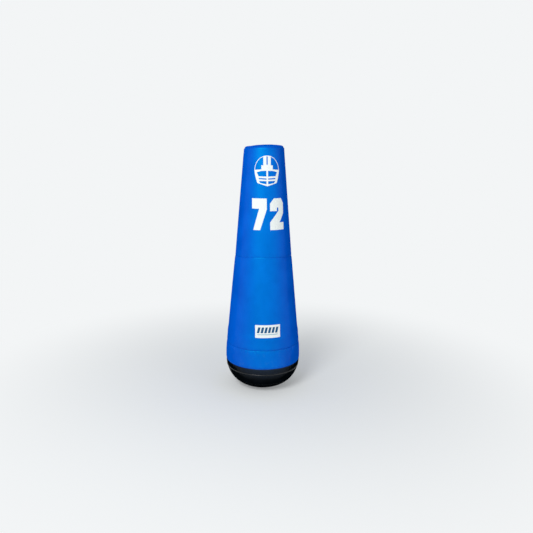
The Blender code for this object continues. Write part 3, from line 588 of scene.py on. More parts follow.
def start_material(name, colours, roughness, drift=None, **values):
    """A Principled material, ready for its patterns; drift is the patches of its two colours."""
    material = bpy.data.materials.new(name)
    material.use_nodes = True
    tree = material.node_tree
    shader = tree.nodes["Principled BSDF"]
    shader.inputs["Base Color"].default_value = linear(colours[0])
    shader.inputs["Roughness"].default_value = roughness
    for socket, value in values.items():
        shader.inputs[socket.replace("_", " ")].default_value = value
    place = add_node(tree, "TexCoord", {}, "Object")
    colour = None
    if drift:
        inputs = {0: patches(tree, place, *drift), 6: colours[0], 7: colours[1]}
        colour = add_node(tree, "Mix", inputs, 2, data_type="RGBA")
        tree.links.new(colour, shader.inputs["Base Color"])
    return material, tree, shader, place, colour


def coated_blue():
    """PVC-coated polyester, calendered: a satin skin with its woven base faintly in relief.

    The pigmented skin gleams in its own cooler blue, less at a glancing angle, where the
    weave shades itself; dust clings towards the foot, and painted shade makes the folds
    beside the seams a little darker.
    """
    material, tree, shader, place, colour = start_material(
        "coated_polyester_blue", ("#0055c8", "#025ed3"), 0.46, (0.16, (0.34, 0.66), 2.0), IOR=1.6,
        Specular_Tint=linear("#08eef0"),
    )
    facing = add_node(tree, "LayerWeight", {"Blend": 0.5}, "Facing")
    gleam = add_node(tree, "MapRange", {0: facing, 1: 0.02, 2: 0.46, 3: 1.0, 4: 0.0})
    gleam = add_node(tree, "Math", {0: gleam, 1: 2.0}, operation="POWER")
    height = add_node(tree, "SeparateXYZ", {"Vector": place}, "Z")
    # Painted shade: within 12 mm of each seam the colour is mixed towards a deeper blue, standing
    # for the shade in the creases there
    for seam in (HEM_HEIGHT, LOW_SEAM_HEIGHT, MID_SEAM_HEIGHT):
        away = add_node(tree, "Math", {0: height, 1: seam}, operation="SUBTRACT")
        away = add_node(tree, "Math", {0: away}, operation="ABSOLUTE")
        shade = add_node(tree, "MapRange", {0: away, 1: 0.0, 2: 0.012, 3: 0.10, 4: 0.0})
        colour = add_node(tree, "Mix", {0: shade, 6: colour, 7: "#0549a8"}, 2, data_type="RGBA")
    low = add_node(tree, "MapRange", {0: height, 1: 0.20, 2: 0.42, 3: 1.0, 4: 0.0})
    dust = patches(tree, place, 0.035, (0.52, 0.80), 5.0, (0.0, 0.16), 0.65)
    dust = add_node(tree, "Math", {0: low, 1: dust}, operation="MULTIPLY")
    colour = add_node(tree, "Mix", {0: dust, 6: colour, 7: "#5f86a8"}, 2, data_type="RGBA")
    tree.links.new(colour, shader.inputs["Base Color"])
    gloss = patches(tree, place, 0.05, (0.3, 0.7), 4.0, (0.42, 0.52))
    tree.links.new(gloss, shader.inputs["Roughness"])
    tree.links.new(gleam, shader.inputs["Specular IOR Level"])
    # The base cloth has 0.9 mm threads; they are drawn 1.8 mm apart so that they show
    cloth = add_node(tree, "UVMap", {}, uv_map="cloth")
    relief(
        tree, shader,
        (patches(tree, place, 0.045, (0.0, 1.0), 2.0), 0.0040, 0.22),
        (threads(tree, cloth, 0.0018), 0.00012, 0.35),
        (patches(tree, place, 0.0012, (0.0, 1.0), 2.0), 0.00008, 0.30),
    )
    return material


def coated_black():
    """The same coated cloth in black for the boot, which drags over turf.

    Its skin is scuffed matt and grey on the lower bowl and keeps a wet gleam above the welt.
    """
    material, tree, shader, place, colour = start_material(
        "coated_polyester_black", ("#030608", "#080c10"), 0.42, (0.05, (0.3, 0.7), 4.0), IOR=1.5,
        Specular_Tint=linear("#a4c0ec"),
    )
    height = add_node(tree, "SeparateXYZ", {"Vector": place}, "Z")
    low = add_node(tree, "MapRange", {0: height, 1: 0.015, 2: 0.13, 3: 1.0, 4: 0.12})
    dust = patches(tree, place, 0.018, (0.50, 0.78), 6.0, (0.0, 0.16), 0.7)
    dust = add_node(tree, "Math", {0: low, 1: dust}, operation="MULTIPLY")
    colour = add_node(tree, "Mix", {0: dust, 6: colour, 7: "#2a302c"}, 2, data_type="RGBA")
    tree.links.new(colour, shader.inputs["Base Color"])
    scuffs = patches(tree, place, 0.02, (0.4, 0.7), 5.0)
    scuffs = add_node(tree, "Math", {0: low, 1: scuffs}, operation="MULTIPLY")
    gloss = add_node(tree, "MapRange", {0: scuffs, 1: 0.0, 2: 1.0, 3: 0.30, 4: 0.62})
    tree.links.new(gloss, shader.inputs["Roughness"])
    skin = add_node(tree, "MapRange", {0: height, 1: 0.12, 2: 0.165, 3: 0.05, 4: 0.62})
    facing = add_node(tree, "LayerWeight", {"Blend": 0.5}, "Facing")
    facing = add_node(tree, "MapRange", {0: facing, 1: 0.03, 2: 0.45, 3: 1.0, 4: 0.0})
    skin = add_node(tree, "Math", {0: skin, 1: facing}, operation="MULTIPLY")
    tree.links.new(skin, shader.inputs["Specular IOR Level"])
    cloth = add_node(tree, "UVMap", {}, uv_map="cloth")
    relief(
        tree, shader,
        (patches(tree, place, 0.030, (0.0, 1.0)), 0.0040, 0.25),
        (threads(tree, cloth, 0.0018), 0.00014, 0.4),
        (patches(tree, place, 0.0015, (0.0, 1.0)), 0.00012, 0.4),
    )
    return material


def printed_white():
    """Screen-printed vinyl ink: a matt white film that fills the weave and is rubbed thin."""
    material, tree, shader, place, _ = start_material(
        "screen_ink_white", ("#eff4f2", "#b8cae2"), 0.50,
        (0.006, (0.62, 0.82), 6.0, (0.0, 0.22), 0.7), IOR=1.5, Specular_IOR_Level=0.20,
    )
    relief(
        tree, shader,
        (patches(tree, place, 0.05, (0.0, 1.0), 2.0), 0.0030, 0.2),
        (patches(tree, place, 0.0016, (0.0, 1.0)), 0.00010, 0.3),
    )
    return material


def woven(name, colours, spacing):
    """A woven tape: its threads in relief and a drift between two colours."""
    material, tree, shader, place, _ = start_material(
        name, colours, 0.85, (0.012, (0.35, 0.65), 4.0), Specular_IOR_Level=0.25, Sheen_Weight=0.2,
    )
    relief(tree, shader, (threads(tree, place, spacing), 0.00025, 0.8))
    return material


def moulded(
    name, colours, roughness, grain=0.0012, depth=0.00006, strength=0.6,
    drift=(0.02, (0.35, 0.65), 4.0), gloss=(0.008, -0.05, 0.07), **values,
):
    """A solid surface: a drift of colour, a drift of gloss, and a fine grain in relief."""
    material, tree, shader, place, _ = start_material(name, colours, roughness, drift, **values)
    size, less, more = gloss
    sheen = patches(tree, place, size, (0.3, 0.7), 4.0, (roughness + less, roughness + more))
    tree.links.new(sheen, shader.inputs["Roughness"])
    relief(tree, shader, (patches(tree, place, grain, (0.0, 1.0)), depth, strength))
    return material


def plated(name, colours):
    """Plated metal, rubbed bright in places and dulled in others."""
    return moulded(
        name, colours, 0.34, 0.0006, 0.00002, 0.5, (0.003, (0.35, 0.70), 5.0),
        (0.0015, -0.08, 0.12), Metallic=1.0,
    )


def make_finishes():
    """Every finish of the dummy."""
    return {
        "blue": coated_blue(),
        "black": coated_black(),
        "ink": printed_white(),
        # The same skin stretched round a cord, rubbed glossy on its crest
        "piping": moulded(
            "coated_piping_black", ("#04070a", "#0a0d11"), 0.24, 0.0014, 0.00010,
            Specular_IOR_Level=0.5,
        ),
        # Coated label cloth, whiter and smoother than the ink
        "label": moulded(
            "coated_label_white", ("#f3f6f5", "#ecf1f0"), 0.42, Specular_IOR_Level=0.3
        ),
        # Flat-screened ink in a dull teal blue, and the same thinned for a fine line
        "label_ink": moulded(
            "screen_ink_teal", ("#14507a", "#1d5d88"), 0.5, Specular_IOR_Level=0.25,
        ),
        "label_pale_ink": moulded(
            "screen_ink_pale_teal", ("#9cc0cc", "#a8c9d3"), 0.5, Specular_IOR_Level=0.25,
        ),
        # Bonded polyester thread: twisted, so it glints a little along its length
        "thread_blue": moulded(
            "polyester_thread_blue", ("#0a60cc", "#1a74dc"), 0.55, Specular_IOR_Level=0.15,
        ),
        "thread_black": moulded("polyester_thread_black", ("#14171b", "#24282d"), 0.55),
        "thread_white": moulded("polyester_thread_white", ("#dfe6ea", "#eef2f3"), 0.55),
        # Flat polyester weave: matt, with its ribs in relief
        "tape": woven("woven_seam_tape_blue", ("#123f8c", "#174a9d"), 0.0008),
        "zip_tape": woven("woven_zip_tape_black", ("#10131a", "#1a1e26"), 0.0007),
        # Nylon monofilament coil, drawn smooth
        "coil": moulded("nylon_coil_black", ("#15181d", "#20242a"), 0.35),
        # Die-cast zinc with a dull nickel plate
        "zinc": plated("plated_zinc", ("#8f9296", "#a9acb0")),
        # Cut loops and hooks: a deep matt nap
        "nap": moulded(
            "hook_and_loop_black", ("#16181c", "#26292e"), 0.90, 0.0009, 0.0008, Sheen_Weight=0.5,
        ),
        # Injection-moulded polypropylene: a soft satin
        "valve": moulded("polypropylene_black", ("#1b1e22", "#24282c"), 0.40),
        # Pressed silicone sheet, dull and even
        "membrane": moulded("silicone_grey", ("#6a6d70", "#76797c"), 0.50),
        # Blown polyurethane film, glossy and slightly cloudy
        "film": moulded("polyurethane_film_dark", ("#2a2d31", "#34383d"), 0.30, 0.006),
        # Closed-cell foam: a cut face full of tiny cells
        "foam": moulded("closed_cell_foam_grey", ("#565a60", "#686c72"), 0.92, 0.0022, 0.0006),
        # Rotation-moulded polyethylene with a slight orange peel
        "tub": moulded("moulded_polyethylene_black", ("#212428", "#2b2f33"), 0.48, 0.003, 0.0002),
        # Cut rubber, matt and nearly black
        "gasket": moulded("gasket_rubber_black", ("#141414", "#1e1e1e"), 0.70),
        # Rolled steel screws with bright zinc, dulled on their heads
        "screw": plated("zinc_plated_steel", ("#9a9da0", "#b3b6b6")),
        # Cast concrete: sandy, with pits of trapped air
        "concrete": moulded("cast_concrete", ("#85827b", "#9c9991"), 0.93, 0.004, 0.0010),
    }


def hold(panel, fullness):
    """Give a panel the cloth that blows it out: fuller than its seams, which are held."""
    cloth = panel.modifiers.new("cloth", "CLOTH")
    for name, value in (
        ("quality", 5), ("mass", 0.3), ("tension_stiffness", 40.0),
        ("compression_stiffness", 20.0), ("shear_stiffness", 10.0), ("bending_stiffness", 0.6),
        ("vertex_group_mass", "held"), ("use_pressure", True),
        ("uniform_pressure_force", PRESSURE), ("shrink_min", -fullness),
    ):
        setattr(cloth.settings, name, value)
    cloth.settings.effector_weights.gravity = 0.0
    cloth.point_cache.frame_start = 1
    cloth.point_cache.frame_end = CLOTH_FRAMES


def positions(mesh):
    """A mesh's vertex positions as an array."""
    flat = np.empty(len(mesh.vertices) * 3, np.float32)
    mesh.vertices.foreach_get("co", flat)
    return flat.reshape(-1, 3)


def blow_out(panels):
    """Run the cloth of all panels at once, and keep only its puckers.

    The air lifts every row of a panel evenly; that part is taken off again, because the
    panel was drawn blown out. What is left, the folds beside the held seams, is limited,
    and fades towards the axis, where the columns crowd together.
    """
    scene = bpy.context.scene
    scene.frame_start = 1
    scene.frame_end = CLOTH_FRAMES
    for panel, fullness in panels:
        hold(panel, fullness)
    for step in range(1, CLOTH_FRAMES + 1):
        scene.frame_set(step)
    graph = bpy.context.evaluated_depsgraph_get()
    for panel, _ in panels:
        start = positions(panel.data)
        moved = positions(panel.evaluated_get(graph).data) - start
        panel.modifiers.remove(panel.modifiers["cloth"])
        normals = np.array([vertex.normal for vertex in panel.data.vertices], np.float32)
        lift = (moved * normals).sum(axis=1)
        rows = np.zeros(len(lift), np.int32)
        panel.data.attributes["row"].data.foreach_get("value", rows)
        counts = np.maximum(np.bincount(rows), 1)
        lift -= (np.bincount(rows, weights=lift) / counts)[rows]
        lift = PUCKER_LIMIT * np.tanh(lift / PUCKER_LIMIT)
        lift *= np.clip(np.hypot(start[:, 0], start[:, 1]) / POLE_REACH, 0.3, 1.0)
        panel.data.vertices.foreach_set("co", (start + normals * lift[:, None]).ravel())
        panel.data.update()
    scene.frame_set(1)


def start_panel(name, path, finish, held=None, high_held=True, **settings):
    """A panel of the cover or the boot before it is blown out; its seams are held.

    A faint unevenness, the same each time, lets the held cloth fold.
    """
    bm = tube(path, **settings)
    row_mark = bm.verts.layers.int["row"]
    seams = (0, len(path) - 1) if high_held else (0,)
    bm.normal_update()
    fixed = []
    for index, vertex in enumerate(bm.verts):
        if vertex[row_mark] in seams or (held is not None and held(vertex.co)):
            fixed.append(index)
        vertex.co += vertex.normal * UNEVEN * noise.noise(vertex.co / UNEVEN_SIZE)
    panel = make_object(name, bm, finish)
    panel.vertex_groups.new(name="held").add(fixed, 1.0, "REPLACE")
    return panel


def in_slit(point):
    """Whether a point of the cover lies in the zip's opening."""
    local = ZIP_UNPLACE @ point
    inside = abs(local.y) < ZIP_END + SLIT_END
    return inside and abs(local.x) < SLIT_HALF_WIDTH and abs(local.z) < 0.03


def port_distance(point):
    """Distance of a point from the valve's axis; points on the front count as far."""
    local = VALVE_UNPLACE @ point
    return hypot(local.x, local.y) if local.z > -0.05 else 1.0


def near_opening(point):
    """Whether a point of the cover is held by the zip or by the valve's port."""
    local = ZIP_UNPLACE @ point
    beside = abs(local.y) < ZIP_END + 0.02 and abs(local.z) < 0.03
    return (beside and abs(local.x) < 3.5 * REAR_PITCH) or port_distance(point) < PORT_HOLE + 0.006


def cut_away(bm, inside):
    """Delete the faces whose middle is inside an opening."""
    gone = [face for face in bm.faces if inside(face.calc_center_median())]
    bmesh.ops.delete(bm, geom=gone, context="FACES")


def cut_port(bm, radius):
    """Cut a round hole on the valve's axis."""
    cut_away(bm, lambda point: port_distance(point) < radius)
    for vertex in bm.verts:
        away = port_distance(vertex.co)
        if vertex.is_boundary and away < 0.05:
            local = VALVE_UNPLACE @ vertex.co
            share = radius / away
            vertex.co = VALVE_PLACE @ Vector((local.x * share, local.y * share, local.z))


def cut_slit(bm):
    """Cut the zip's slit, with its edges turned in but clear of the zip's tapes."""
    cut_away(bm, in_slit)
    end = ZIP_END + SLIT_END
    for vertex in bm.verts:
        local = ZIP_UNPLACE @ vertex.co
        if abs(local.z) > 0.03 or abs(local.y) > end + 0.02:
            continue
        if vertex.is_boundary:
            local.x = math.copysign(min(abs(local.x), SLIT_HALF_WIDTH), local.x)
            if abs(local.y) > ZIP_END:
                local.y = math.copysign(end, local.y)
        past = max(abs(local.x) - SLIT_HALF_WIDTH, abs(local.y) - end, 0.0)
        local.z -= SLIT_ROLL * bell(past, SLIT_ROLL_REACH)
        if abs(local.x) < ZIP_TAPE_WIDTH:
            local.z = max(local.z, ZIP_TAPE_TOP + CLOTH_WALL + SLIT_CLEARANCE)
        vertex.co = ZIP_PLACE @ local


def give_wall(panel):
    """Cut a panel's opening and give its cloth a thickness, inwards."""
    bm = bmesh.new()
    bm.from_mesh(panel.data)
    if panel.name == "cover_upper":
        cut_port(bm, PORT_HOLE)
    if panel.name == "cover_lower":
        cut_slit(bm)
    bmesh.ops.solidify(bm, geom=bm.faces[:], thickness=CLOTH_WALL)
    for vertex in bm.verts:
        vertex.co.z = max(vertex.co.z, FLOOR_CLEARANCE)
    bm.verts.layers.int.remove(bm.verts.layers.int["row"])
    panel.vertex_groups.clear()
    bm.to_mesh(panel.data)
    bm.free()
    panel.data.shade_smooth()
    panel.data.set_sharp_from_angle(angle=radians(50.0))
    panel.data.update()


def build_cloth(finish):
    """The blown-out panels of the cover and the boot."""
    half_gap = GAP / 2.0
    seam_gap = half_gap / SHOULDER_RADIUS
    arc_start = SHOULDER_HEIGHT + SHOULDER_RADIUS * sin(SHOULDER_START)
    crown = shoulder_line(CAP_SEAM_ANGLE + seam_gap, CROWN_EDGE_ANGLE, 16) + crown_line(20)
    upper = wall_line(MID_SEAM_HEIGHT + half_gap, arc_start, 150)[:-1]
    upper += shoulder_line(SHOULDER_START, CAP_SEAM_ANGLE - seam_gap, 10)
    lower = wall_line(LOW_SEAM_HEIGHT + half_gap, MID_SEAM_HEIGHT - half_gap, 200)
    skirt = wall_line(HEM_HEIGHT + half_gap, LOW_SEAM_HEIGHT - half_gap, 60)
    band = wall_line(WELT_HEIGHT + WELT_RADIUS + GAP, HEM_HEIGHT - half_gap, 20)
    bowl = bowl_line(FOOT_DROP, WELT_HEIGHT - WELT_RADIUS - GAP, 60)
    bowl.insert(0, (bowl[0][0] - FOOT_SEAM_INSET, FOOT_DROP))
    sole_seam = next(
        length for length, point in zip(lengths_along(bowl), bowl) if point[1] > SOLE_SEAM_HEIGHT
    )

    made = []
    for name, path, fullness, node, settings in (
        ("cover_crown", sewn_path(crown, 0.0070, high_seam=False), 0.020, "top_cap",
         {"high_held": False, "rear_columns": 0, "columns": 240}),
        ("cover_upper", sewn_path(upper, 0.0095), 0.012, "upper_panel",
         {"held": near_opening, "columns": 360}),
        ("cover_lower", sewn_path(lower, 0.0090), 0.012, "lower_panel", {"held": near_opening}),
        ("cover_skirt", sewn_path(skirt, 0.0060), 0.016, "skirt_band", {}),
        ("boot_band", sewn_path(band, 0.0040, low_seam=False), 0.010, "boot_strip", {}),
        ("boot_bowl_cloth", sewn_path(bowl, 0.0060, high_seam=False, creases=(sole_seam,)),
         0.012, "boot_bowl", {"rear_columns": 0}),
    ):
        colour = "black" if name.startswith("boot") else "blue"
        panel = start_panel(name, path, finish[colour], **settings)
        made.append((panel, fullness, colour + "_vinyl", node))
    blow_out([(panel, fullness) for panel, fullness, _, _ in made])
    for panel, _, slot, node in made:
        give_wall(panel)
        finish_piece(panel, "dummy", (node,))
    return [panel for panel, _, _, _ in made]


def surface_of(pieces):
    """The pieces' surface as one tree for finding points on it."""
    bm = bmesh.new()
    for piece in pieces:
        bm.from_mesh(piece.data)
    tree = BVHTree.FromBMesh(bm)
    bm.free()
    return tree


def drape(surface, point, outward):
    """The point of the surface under a point, seen against an outward direction."""
    hit, normal, _, _ = surface.ray_cast(point + outward * 0.03, -outward, 0.06)
    return (hit, normal) if hit is not None else (point, outward)


def stitch_along(bm, surface, line, pitch=STITCH_PITCH, length=STITCH_LENGTH, wire=0.0004):
    """Thread stitches laid on the surface along a line of (point, outward) pairs."""
    lengths = lengths_along([point for point, _ in line])
    count = max(1, round(lengths[-1] / pitch))
    step = lengths[-1] / count

    def at(distance):
        index, share = stretch_at(lengths, distance)
        (a, a_out), (b, b_out) = line[index:index + 2]
        return drape(surface, a.lerp(b, share), a_out.lerp(b_out, share).normalized())

    for number in range(count):
        middle = (number + 0.5) * step
        first, normal = at(middle - length / 2.0)
        second, _ = at(middle + length / 2.0)
        along = (second - first).normalized()
        side = normal.cross(along).normalized()
        place = Matrix((along, side, along.cross(side))).transposed().to_4x4()
        place.translation = (first + second) / 2.0 + normal * wire * 0.35
        size = Matrix.Diagonal(((second - first).length / 2.0, wire, wire * 0.8, 1.0))
        bmesh.ops.create_icosphere(bm, subdivisions=1, radius=1.0, matrix=place @ size)


def between(start, end, count):
    """Evenly spaced points on the straight line between two points."""
    return [Vector(start).lerp(Vector(end), index / count) for index in range(count + 1)]


def ring_of(radius, height, tilt=0.0):
    """A line of (point, outward) pairs round the dummy at one place of its outline."""
    line = []
    for angle in steps(0.0, tau, 180):
        flat = Vector((sin(angle), -cos(angle), 0.0))
        outward = flat * cos(tilt) + Vector((0.0, 0.0, sin(tilt)))
        line.append((lean_into_view(flat * radius + Vector((0.0, 0.0, height))), outward))
    return line


def up_the_rear(side, low, high):
    """A line of (point, outward) pairs up the cover, a little beside the middle of its rear."""
    line = []
    for height in steps(low, high, 60):
        point = lean_into_view(Vector((0.0, -outline_radius(height), height)))
        line.append((Vector((side, -point.y, point.z)), Vector((0.0, 1.0, 0.0))))
    return line


def build_stitching(finish, surface):
    """Rows of stitches beside each seam of the cover and the boot, and round the zip's slit."""
    rows = {}
    for name, height, sides in (
        ("stitches_middle", MID_SEAM_HEIGHT, (-STITCH_BESIDE, STITCH_BESIDE)),
        ("stitches_low", LOW_SEAM_HEIGHT, (-STITCH_BESIDE, STITCH_BESIDE)),
        ("stitches_hem", HEM_HEIGHT, (0.0050, 0.0100)),
        ("stitches_boot", WELT_HEIGHT, (0.0095, -0.0095)),
        ("stitches_sole", SOLE_SEAM_HEIGHT, (-STITCH_BESIDE, STITCH_BESIDE)),
    ):
        tilt = -0.9 if name == "stitches_sole" else 0.0
        rows[name] = [ring_of(outline_radius(height + side), height + side, tilt) for side in sides]
    rows["stitches_crown"] = []
    for side in (-1.0, 1.0):
        angle = CAP_SEAM_ANGLE + side * STITCH_BESIDE / SHOULDER_RADIUS
        rows["stitches_crown"].append(ring_of(*shoulder_line(angle, angle, 1)[0], angle))
    rows["stitches_rear"] = [
        up_the_rear(side, low, high)
        for low, high in (
            (HEM_HEIGHT + 0.012, LOW_SEAM_HEIGHT - 0.012),
            (LOW_SEAM_HEIGHT + 0.012, ZIP_LOW - 0.022),
            (ZIP_HIGH + 0.022, MID_SEAM_HEIGHT - 0.012),
            (MID_SEAM_HEIGHT + 0.012, VALVE_HEIGHT - 0.070),
            (VALVE_HEIGHT + 0.070, SHOULDER_HEIGHT),
        )
        for side in (-0.0030, 0.0030)
    ]
    rows["stitches_zip"] = []
    outward = ZIP_PLACE.to_3x3() @ Vector((0.0, 0.0, 1.0))
    for beside, past in ((0.0105, 0.0145), (0.0145, 0.0185)):
        end = ZIP_END + past
        corners = [(x * beside, y * end, 0.0) for x, y in ((-1, -1), (1, -1), (1, 1), (-1, 1))]
        for start, stop in zip(corners, corners[1:] + corners[:1]):
            count = max(2, round(math.dist(start, stop) / 0.01))
            points = between(start, stop, count)
            rows["stitches_zip"].append([(ZIP_PLACE @ point, outward) for point in points])
    for name, lines in rows.items():
        bm = bmesh.new()
        for line in lines:
            stitch_along(bm, surface, line)
        colour = "thread_black" if name in ("stitches_boot", "stitches_sole") else "thread_blue"
        add_part(name, bm, finish[colour])


def build_boot_trim(finish):
    """The welt's piping cord, covered in black cloth, and the stitched round sole."""
    middle = outline_radius(WELT_HEIGHT) - 0.0006
    circle = arc(middle, WELT_HEIGHT, WELT_RADIUS, 90.0, 450.0, 14)[:-1]
    piping = turned(circle, 440)
    piping.normal_update()
    for vertex in piping.verts:
        vertex.co += vertex.normal * 0.00035 * noise.noise(vertex.co * 90.0)
    add_part("boot_piping", piping, finish["piping"], ("boot_welt",))

    seam_radius = outline_radius(FOOT_DROP) - FOOT_SEAM_INSET - GAP
    sole = turned([
        (0.0, 0.0), (seam_radius - 0.0015, 0.0), (seam_radius, 0.0008),
        (seam_radius, 0.0026), (seam_radius - 0.0010, 0.0030), (0.0, 0.0030),
    ], 144)
    add_part("boot_sole", sole, finish["black"], ("boot_foot",), 40.0)


def mirror_points(points):
    """The same outline on the other side of the middle line."""
    return [(-x, y) for x, y in points[::-1]]


def helmet_outlines():
    """Front view of a plain football helmet: its outer outline and the gaps in it."""
    half = HELMET_HALF_WIDTH
    waist = 0.106
    crown = HELMET_HEIGHT - waist
    rim = 0.0036
    dome = [(half * cos(angle), waist + crown * sin(angle)) for angle in steps(0.0, pi, 40)]
    jaw = [(-half + 0.003, 0.085), (-half + 0.0115, 0.050), (-half + 0.0216, 0.022), (0.0, 0.0)]
    outer = dome + jaw + mirror_points(jaw[:-1])

    stripe = 0.0265
    window = [
        ((half - rim) * cos(angle), waist + (crown - rim) * sin(angle))
        for angle in steps(radians(5.0), radians(72.0), 15)
    ]
    window[-1] = (stripe, window[-1][1])
    window += [
        (stripe, 0.145), (0.0405, 0.145), (0.0405, 0.1165), (half - rim - 0.003, 0.1135),
    ]
    slit = [(-0.0045, 0.149), (0.0045, 0.149), (0.0045, 0.2065), (-0.0045, 0.2065)]
    bar = 0.0060
    eye = [(bar, 0.0675), (0.062, 0.069), (0.0748, 0.0975), (0.043, 0.106), (bar, 0.1075)]
    upper_gap = [(bar, 0.0455), (0.060, 0.0490), (0.062, 0.0575), (bar, 0.0545)]
    lower_gap = [(bar, 0.0135), (0.050, 0.0220), (0.060, 0.0375), (bar, 0.0350)]
    gaps = [window, eye, upper_gap, lower_gap]
    return [outer, slit] + gaps + [mirror_points(gap) for gap in gaps]


def seven_outline():
    """A block figure seven, its lower left corner at the origin."""
    bar = DIGIT_HEIGHT - 0.072
    return [
        (0.0075, 0.0), (0.058, 0.0), (SEVEN_WIDTH, bar - 0.004), (SEVEN_WIDTH, DIGIT_HEIGHT),
        (0.0, DIGIT_HEIGHT), (0.0, bar), (0.053, bar),
    ]


def two_outline():
    """A block figure two with cut corners, its lower left corner at the origin."""
    width = TWO_WIDTH
    height = DIGIT_HEIGHT
    return [
        (0.0, 0.0), (width, 0.0), (width, 0.0525), (0.075, 0.0525), (width - 0.003, 0.116),
        (width - 0.003, height - 0.036), (width - 0.024, height), (0.029, height),
        (0.0, height - 0.036), (0.0, 0.134), (0.053, 0.134), (0.053, 0.159),
        (0.064, 0.159), (0.067, 0.137), (0.0, 0.056),
    ]


def on_front(x, height, turn):
    """The cone's point at an arc length from a turn off the front, and its outward direction."""
    radius = cone_radius(height)
    angle = turn + x / radius
    outward = Vector((sin(angle), -cos(angle), 0.0))
    return outward * radius + Vector((0.0, 0.0, height)), outward


def lay_on(outlines, wall, step, surface, turn, base, lift, left=0.0):
    """A plate from outlines, laid on the front: its XY go to arc length and height."""
    bm = plate(outlines, wall, step)
    for vertex in bm.verts:
        spot = on_front(vertex.co.x + left, base + vertex.co.y, turn)
        point, normal = drape(surface, *spot)
        vertex.co = point + normal * (lift + vertex.co.z)
    return bm


def build_prints(finish, surface):
    """The printed helmet figure and number, and the sewn label with its plain slanted bars."""
    for name, outlines, left, base, node in (
        ("printed_helmet", helmet_outlines(), HELMET_MIDDLE, HELMET_BASE, "helmet_print"),
        ("printed_seven", [seven_outline()], SEVEN_LEFT, DIGIT_BASE, "number_seven"),
        ("printed_two", [two_outline()], TWO_LEFT, DIGIT_BASE, "number_two"),
    ):
        bm = lay_on(outlines, 0.00045, 0.0055, surface, 0.0, base, -0.0001, left)
        add_part(name, bm, finish["ink"], (node,), 60.0)

    half_width = LABEL_WIDTH / 2.0
    half_height = LABEL_HEIGHT / 2.0
    outline = rounded(-half_width, -half_height, half_width, half_height, 0.004, 4)
    label = lay_on([outline], 0.0009, 0.0045, surface, LABEL_TURN, LABEL_MIDDLE, 0.0)
    label = add_part("sewn_label", label, finish["label"], ("label_patch",), 60.0)
    on_label = surface_of([label])

    bars = []
    for index in range(6):
        left = -0.081 + 0.0268 * index
        bars.append([
            (left, -0.011), (left + 0.0175, -0.011), (left + 0.0275, 0.031), (left + 0.010, 0.031),
        ])
    line = [(-0.078, -0.0255), (0.074, -0.0255), (0.0755, -0.0195), (-0.0765, -0.0195)]
    for name, outlines, ink in (
        ("label_bars", bars, "label_ink"), ("label_line", [line], "label_pale_ink"),
    ):
        bm = lay_on(outlines, 0.0003, 0.006, on_label, LABEL_TURN, LABEL_MIDDLE, 0.0001)
        add_part(name, bm, finish[ink], sharp=60.0)

    x, y = half_width - 0.0045, half_height - 0.0045
    corners = [(-x, -y), (x, -y), (x, y), (-x, y)]
    bm = bmesh.new()
    for start, end in zip(corners, corners[1:] + corners[:1]):
        line = [on_front(x, LABEL_MIDDLE + y, LABEL_TURN) for x, y in between(start, end, 20)]
        stitch_along(bm, on_label, line, 0.0040, 0.0030, 0.00032)
    add_part("label_stitches", bm, finish["thread_white"])


def inset(line, depth):
    """A line moved inwards by a depth; it runs up the outside, and may end on the axis."""
    moved = []
    for index, (radius, height) in enumerate(line):
        before = Vector(line[max(index - 1, 0)])
        after = Vector(line[min(index + 1, len(line) - 1)])
        along = (after - before).normalized() if radius > 0.0 else Vector((-1.0, 0.0))
        moved.append((max(radius - along.y * depth, 0.0), height + along.x * depth))
    return moved


def build_inner(finish):
    """The soft parts inside: the bladder, the foam pad, and the tapes behind the seams."""
    low = PAD_TOP + GAP
    base_radius = outline_radius(low + BLADDER_CORNER) - BLADDER_DEPTH
    line = [(base_radius * share, low) for share in (0.0, 0.2, 0.4, 0.6)]
    line += arc(base_radius - BLADDER_CORNER, low + BLADDER_CORNER, BLADDER_CORNER, -90.0, 0.0, 10)
    wall = wall_line(low + BLADDER_CORNER + 0.010, SHOULDER_HEIGHT - 0.004, 110)
    wall += shoulder_line(SHOULDER_START, CROWN_EDGE_ANGLE, 14) + crown_line(10)
    bm = tube(line + inset(wall, BLADDER_DEPTH), INNER_COLUMNS)
    cut_port(bm, NECK_RADIUS + 0.0008)
    bmesh.ops.solidify(bm, geom=bm.faces[:], thickness=BLADDER_WALL)
    bladder = add_part("air_bladder", bm, finish["film"], ("bladder",))

    pad = turned(rounded(PAD_HOLE, LID_TOP + GAP, PAD_RADIUS, PAD_TOP, 0.004, 4), 120)
    add_part("foam_ring", pad, finish["foam"], ("foam_pad",))

    reach = TAPE_HALF_WIDTH / SHOULDER_RADIUS
    crown = shoulder_line(CAP_SEAM_ANGLE - reach, CAP_SEAM_ANGLE + reach, 8)
    tapes = [("tape_crown", "top_seam_tape", inset(crown, TOP_TAPE_DEPTH))]
    for name, node, height in (
        ("tape_hem", "hem_seam_tape", HEM_HEIGHT), ("tape_low", "low_seam_tape", LOW_SEAM_HEIGHT),
        ("tape_middle", "mid_seam_tape", MID_SEAM_HEIGHT),
    ):
        wall = wall_line(height - TAPE_HALF_WIDTH, height + TAPE_HALF_WIDTH, 8)
        tapes.append((name, node, inset(wall, TAPE_DEPTH)))
    for name, node, line in reversed(tapes):
        bm = tube(line, INNER_COLUMNS, 0)
        bmesh.ops.solidify(bm, geom=bm.faces[:], thickness=TAPE_WALL)
        tape = add_part(name, bm, finish["tape"], (node,), 60.0)


